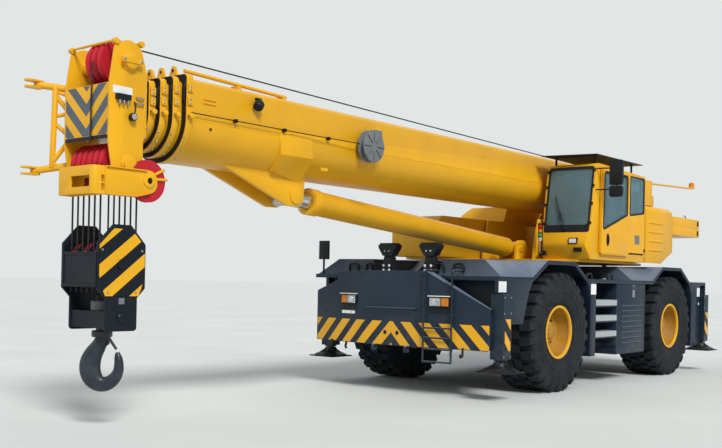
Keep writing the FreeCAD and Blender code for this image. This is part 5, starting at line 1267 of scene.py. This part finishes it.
CAB_FRONT_LOW = (-2.020, 2.520)
CAB_FRONT_HIGH = (-2.200, 3.660)
WINDSCREEN_EDGE = ((0.632, 2.500, 0.05), (0.632, 3.612, 0.05), (1.468, 3.612, 0.05), (1.468, 2.500, 0.05))
WINDSCREEN = ((0.668, 2.630, 0.05), (0.668, 3.568, 0.05), (1.436, 3.568, 0.05), (1.436, 2.630, 0.05))
QUARTER = ((-3.510, 2.870, 0.04), (-4.100, 2.940, 0.04), (-4.100, 3.560, 0.06), (-3.510, 3.580, 0.06))
DOOR = ((-2.360, 2.560, 0.04), (-2.400, 3.530, 0.05), (-3.290, 3.530, 0.05), (-3.290, 2.860, 0.04))
BOOM_SIDE = ((-2.330, 2.700, 0.04), (-2.400, 3.560, 0.06), (-4.080, 3.560, 0.06), (-4.080, 2.880, 0.04))
REAR = ((0.700, 2.900, 0.05), (0.700, 3.530, 0.05), (1.400, 3.530, 0.05), (1.400, 2.900, 0.05))


def cab_front(y, z, proud=0.0):
    """Point on the cab's leaning front, or proud of it."""
    (x0, z0), (x1, z1) = CAB_FRONT_LOW, CAB_FRONT_HIGH
    return Vector((x0 + (z - z0) * (x1 - x0) / (z1 - z0) + proud, y, z))


def build_window_frames():
    """Black bonded edges round the panes; the windscreen's is deep along its foot."""
    piece = Piece("window_seals", "superstructure", "black_paint", "trim")
    window_frame(piece, WINDSCREEN_EDGE, WINDSCREEN, lambda y, z: cab_front(y, z, -0.004), FORWARD * 0.008)
    for corners, place, along in (
        (QUARTER, lambda x, z: (x, CAB_SIDE_Y - 0.006, z), LEFT * 0.010),
        (BOOM_SIDE, lambda x, z: (x, CAB_BOOM_SIDE_Y + 0.006, z), LEFT * -0.010),
        (REAR, lambda y, z: (CAB_REAR_X + 0.006, y, z), FORWARD * -0.010),
    ):
        window_frame(piece, drawn_in(corners, -0.012), drawn_in(corners, 0.016), place, along)
    piece.done(bevel=0.002)
    door = Piece("door_seal", "door", "black_paint", "trim")
    place = lambda x, z: (x, DOOR_SIDE_Y - 0.004, z)
    window_frame(door, drawn_in(DOOR, -0.014), drawn_in(DOOR, 0.016), place, LEFT * 0.008)
    door.done(bevel=0.002)


def build_cab_trim():
    """Hinge blocks, wiper, lamp, blank plate, slot, knobs and grab rail."""
    piece = Piece("cab_trim", "superstructure", "black_paint", "black")
    for y in (0.624, 1.476):
        for z in (2.66, 2.98, 3.28, 3.54):
            spot = cab_front(y, z)
            piece.block(spot - Vector((0.006, 0.020, 0.022)), spot + Vector((0.020, 0.018, 0.022)))
            piece.bolt(cab_front(y, z, 0.020), FORWARD, 0.007)
    pivot = cab_front(1.03, 2.565, 0.014)
    piece.lathe(((0.030, -0.016), (0.030, 0.012), (0.018, 0.022), (0, 0.022)), pivot, (1, 0, 0.15), 16)
    for shift in (-0.018, 0.018):
        piece.tube((pivot + Vector((0.006, shift, 0)), cab_front(0.90 + shift, 2.86, 0.018)), 0.005)
    piece.tube((cab_front(0.96, 2.70, 0.016), cab_front(0.80, 3.12, 0.016)), 0.008)
    x, side = CAB_NOSE_X, CAB_SIDE_Y
    for low, high, material in (
        ((x - 0.050, 1.14, 2.310), (x + 0.012, 1.30, 2.410), "black"),
        ((x + 0.008, 1.158, 2.326), (x + 0.018, 1.282, 2.394), "white"),
        ((x - 0.080, 1.23, 2.180), (x, 1.37, 2.250), "black"),
        ((-3.92, side - 0.002, 2.375), (-3.72, side + 0.003, 2.535), "grey"),
        ((-4.09, side - 0.004, 2.185), (-3.42, side + 0.002, 2.215), "black"),
    ):
        piece.block(low, high, material)
    cap = ((0.035, -0.004), (0.035, 0.002), (0.028, 0.003), (0, 0.003))
    piece.lathe(cap, (-4.13, side, 2.27), LEFT, 20)
    knob = ((0.05, 0), (0.05, 0.02), (0.03, 0.05), (0, 0.055))
    for x in (-2.45, -4.02):
        piece.lathe(knob, (x, 1.05, 3.62), UP, 20)
    near, far = CAB_REAR_X + 0.005, CAB_REAR_X - 0.06
    rail = ((near, 1.42, 2.35), (far, 1.42, 2.35), (far, 1.42, 2.80), (near, 1.42, 2.80))
    piece.tube(rail, 0.012, bend=0.03)
    piece.done(bevel=0.003)


def build_door_trim():
    """Oval handle plate with its grip, and the moulding along the door's foot."""
    door = Piece("door_trim", "door", "black_paint", "black")
    handle = Vector((-2.535, DOOR_SIDE_Y, 2.40))
    oval = [handle - LEFT * 0.002 + way for way in circle(FORWARD * 0.046, UP * 0.108, 24)]
    door.prism(oval, LEFT * 0.010)
    grip = ((0.006, -0.07), (0.022, -0.05), (0.022, 0.05), (0.006, 0.07))
    door.tube([handle + LEFT * out + UP * rise for out, rise in grip], 0.010)
    door.block((-3.20, DOOR_SIDE_Y - 0.002, 2.170), (-2.36, DOOR_SIDE_Y + 0.006, 2.180), "yellow")
    door.done(bevel=0.002)


def build_beacon():
    """Amber lens over the beacon at the arm's end."""
    piece = Piece("beacon_lens", "superstructure", "yellow_paint", "amber")
    lens = ((0.057, 0.026), (0.055, 0.034), (0.050, 0.101), (0.034, 0.119), (0, 0.119))
    piece.lathe(lens, (-6.490, 1.440, 3.600), UP)
    piece.done()


def build_mirror_glass():
    """Two reflecting faces on the backs of the cab's mirror heads."""
    piece = Piece("mirror_glass", "superstructure", "rod_chrome", "chrome")
    x, y, half = -2.2815, 1.825, 0.085
    for low_z, high_z in ((3.31, 3.66), (3.11, 3.24)):
        piece.block((x, y - half, low_z), (x + 0.004, y + half, high_z))
    piece.done(bevel=0.001)


def build_light_tower():
    """Load lamps in four colours on a bent post at the cab's front corner."""
    piece = Piece("light_tower", "superstructure", "black_paint", "black")
    x, y, height = -1.86, 0.655, 0.060
    piece.tube(((CAB_NOSE_X, y, 2.16), (x, y, 2.16), (x, y, 2.40)), 0.014, "steel", bend=0.03)
    piece.block((CAB_NOSE_X - 0.090, y - 0.05, 2.12), (CAB_NOSE_X + 0.020, y + 0.05, 2.20))
    lens = ((0.030, 0), (0.036, 0.004), (0.036, 0.056), (0.030, height))
    for index, material in enumerate(("clear", "green", "amber", "red")):
        place = Vector((x, y, 2.36 + 0.07 * index))
        piece.lathe(lens, place, UP, 24, material)
        piece.lathe(((0.038, 0), (0.038, 0.010)), place + UP * height, UP, 24)
    piece.lathe(((0.038, 0), (0.030, 0.02), (0, 0.024)), (x, y, 2.640), UP, 24)
    piece.done()


# Superstructure

def build_cover_details():
    """Pressed ribs on the left cover, louvres and handles on the right one."""
    piece = Piece("cover_trim", "superstructure", "yellow_paint", "yellow")
    for z in (2.30, 2.465, 2.63, 2.80):
        rib = ((-4.30, 1.498, -0.026), (-4.34, 1.516, -0.010), (-4.34, 1.516, 0.010), (-4.30, 1.498, 0.026))
        piece.prism([(x, y, z + rise) for x, y, rise in rib], (-0.62, 0, 0))
    inner, outer = -1.548, -1.562
    louvres = (
        # middle x, half width, lowest z, count
        (-1.3, 0.20, 2.26, 6),
        (-1.9, 0.20, 2.26, 6),
        (-2.5, 0.20, 2.26, 6),
        (-3.6, 0.24, 2.34, 8),
        (-4.3, 0.24, 2.34, 8),
    )
    for x, half, low_z, count in louvres:
        for index in range(count):
            z = low_z + index * 0.055
            blade = ((inner, z), (outer, z + 0.012), (outer, z + 0.034), (inner, z + 0.046))
            piece.prism([(x - half, y, height) for y, height in blade], (2 * half, 0, 0), "black")
    near, far = -1.546, -1.585
    for x, z in ((-1.0, 2.62), (-2.2, 2.62), (-3.2, 2.92), (-4.9, 2.92)):
        grip = ((x, near, z), (x, far, z), (x + 0.12, far, z), (x + 0.12, near, z))
        piece.tube(grip, 0.007, "black", bend=0.012)
    piece.done(bevel=0.002)


def build_weight_details():
    """Black corner marks, lifting loops and fixing bolts on the counterweight."""
    piece = Piece("weight_trim", "superstructure", "yellow_paint", "black")
    side_y, rear_x, top, rise = 1.500, -6.826, 2.980, UP * 0.08
    for z in (2.71, 2.90):
        piece.block((-6.74, side_y - 0.002, z - 0.05), (-6.66, side_y + 0.004, z + 0.05))
        piece.block((rear_x - 0.0035, 1.36, z - 0.05), (rear_x, 1.44, z + 0.05))
    for x in (-5.62, -6.55):
        a, b = Vector((x - 0.07, 1.28, top)), Vector((x + 0.07, 1.28, top))
        piece.tube((a, a + rise, b + rise, b), 0.014, "steel", bend=0.05)
    for x in (-5.60, -6.20):
        piece.bolt((x, 1.2, top), UP, 0.022, "steel")
    piece.mirror()
    piece.done(bevel=0.001)


def build_winch_ropes():
    """Rope wound in one layer on each drum."""
    pitch = 0.025
    turn = ((0, -0.012), (0.016, -0.009), (0.022, 0), (0.016, 0.009), (0, 0.012))
    for name, x, z, radius in (("main_drum", -5.92, 2.67, 0.21), ("aux_drum", -6.38, 3.31, 0.19)):
        piece = Piece(name + "_rope", name, "rope_steel", "rope")
        profile = [(radius + rise, along) for rise, along in turn]
        for index in range(24):
            piece.lathe(profile, (x, -0.288 + index * pitch, z), LEFT, 40)
        piece.done(sharp=60)


# Stage, lights and camera

CAMERA_PLACE = Vector((12.429, 8.703, 1.639))
CAMERA_WAY = Vector((-0.7672, -0.6414, 0.0))
CAMERA_ROLL = math.radians(1.17)
CAMERA_LENS = 47.86
CAMERA_SHIFT = 0.0778
VIEW_END = 900.0
FLOOR_REACH = 300.0
FLOOR_Z = -0.002
AIM = Vector((0, 0, 1.5))


def build_stage():
    mesh = bpy.data.meshes.new("floor")
    plan = rectangle(-FLOOR_REACH, FLOOR_REACH, -FLOOR_REACH, FLOOR_REACH)
    mesh.from_pydata([(x, y, FLOOR_Z) for x, y in plan], [], [(0, 1, 2, 3)])
    surface = Surface("floor_grey")
    tone = surface.ranged(surface.noise(0.35, 6.0), 0.3, 0.7)
    tone = surface.mixed(tone, (0.60, 0.61, 0.58), (0.66, 0.67, 0.64))
    specks = surface.ranged(surface.noise(60.0, 8.0), 0.60, 0.75, 0, 0.35)
    mesh.materials.append(surface.finished(surface.mixed(specks, tone, (0.45, 0.45, 0.44)), 0.9, {
        "Normal": surface.bump(45.0, 6.0, 0.2, 0.003),
        "Specular IOR Level": 0.2,
    }))
    linked("floor", mesh)


def build_sky():
    """Pale sky behind the crane, and a dimmer, bluer one that lights it."""
    world = bpy.data.worlds.new("sky")
    bpy.context.scene.world = world
    world.use_nodes = True
    nodes, links = world.node_tree.nodes, world.node_tree.links
    mix = nodes.new("ShaderNodeMixShader")
    skies = (
        # node, input of the mix, colour, strength
        (nodes["Background"], 1, (0.80, 0.88, 0.95), 0.52),
        (nodes.new("ShaderNodeBackground"), 2, (0.80, 0.83, 0.83), 0.95),
    )
    for node, place, colour, strength in skies:
        node.inputs["Color"].default_value = (*colour, 1)
        node.inputs["Strength"].default_value = strength
        links.new(node.outputs["Background"], mix.inputs[place])
    links.new(nodes.new("ShaderNodeLightPath").outputs["Is Camera Ray"], mix.inputs["Fac"])
    links.new(mix.outputs["Shader"], nodes["World Output"].inputs["Surface"])


def build_lights():
    lamps = (
        # name, place, width in degrees, strength
        ("key", (7.0, 13.0, 14.0), 18.0, 3.00),
        ("fill", (14.0, -10.0, 9.0), 60.0, 0.45),
        ("back", (-14.0, -6.0, 11.0), 60.0, 0.35),
    )
    for name, place, width, strength in lamps:
        data = bpy.data.lights.new(name, "SUN")
        data.angle = math.radians(width)
        data.energy = strength
        lamp = linked(name, data)
        lamp.location = place
        lamp.rotation_euler = (AIM - Vector(place)).to_track_quat("-Z", "Y").to_euler()


def build_camera():
    data = bpy.data.cameras.new("camera")
    data.sensor_width = 36.0
    data.lens = CAMERA_LENS
    data.shift_y = CAMERA_SHIFT
    data.clip_end = VIEW_END
    camera = linked("camera", data)
    right = CAMERA_WAY.cross(UP).normalized()
    across = right * math.cos(CAMERA_ROLL) + UP * math.sin(CAMERA_ROLL)
    upward = UP * math.cos(CAMERA_ROLL) - right * math.sin(CAMERA_ROLL)
    turn = Matrix((across, upward, -CAMERA_WAY.normalized())).transposed()
    camera.matrix_world = Matrix.Translation(CAMERA_PLACE) @ turn.to_4x4()
    bpy.context.scene.camera = camera


for build in (
    dress_nodes, build_wheels,
    build_nose_stripes, build_nose_details, build_front_lamps, build_nose_ladder,
    build_side_plates, build_steps, build_deck_rails, build_rest_details,
    build_tank_ribs, build_rear_details, build_hood_details,
    build_jack_boxes, build_float_details,
    build_boom_details, build_collar_details, build_boom_top, build_reel_details,
    build_head_chevrons, build_head_details, build_block_stripes, build_hook,
    build_window_frames, build_cab_trim, build_door_trim, build_beacon, build_mirror_glass,
    build_light_tower, build_cover_details, build_weight_details, build_winch_ropes,
    build_stage, build_sky, build_lights, build_camera,
):
    build()
bpy.context.scene.view_settings.view_transform = "Standard"
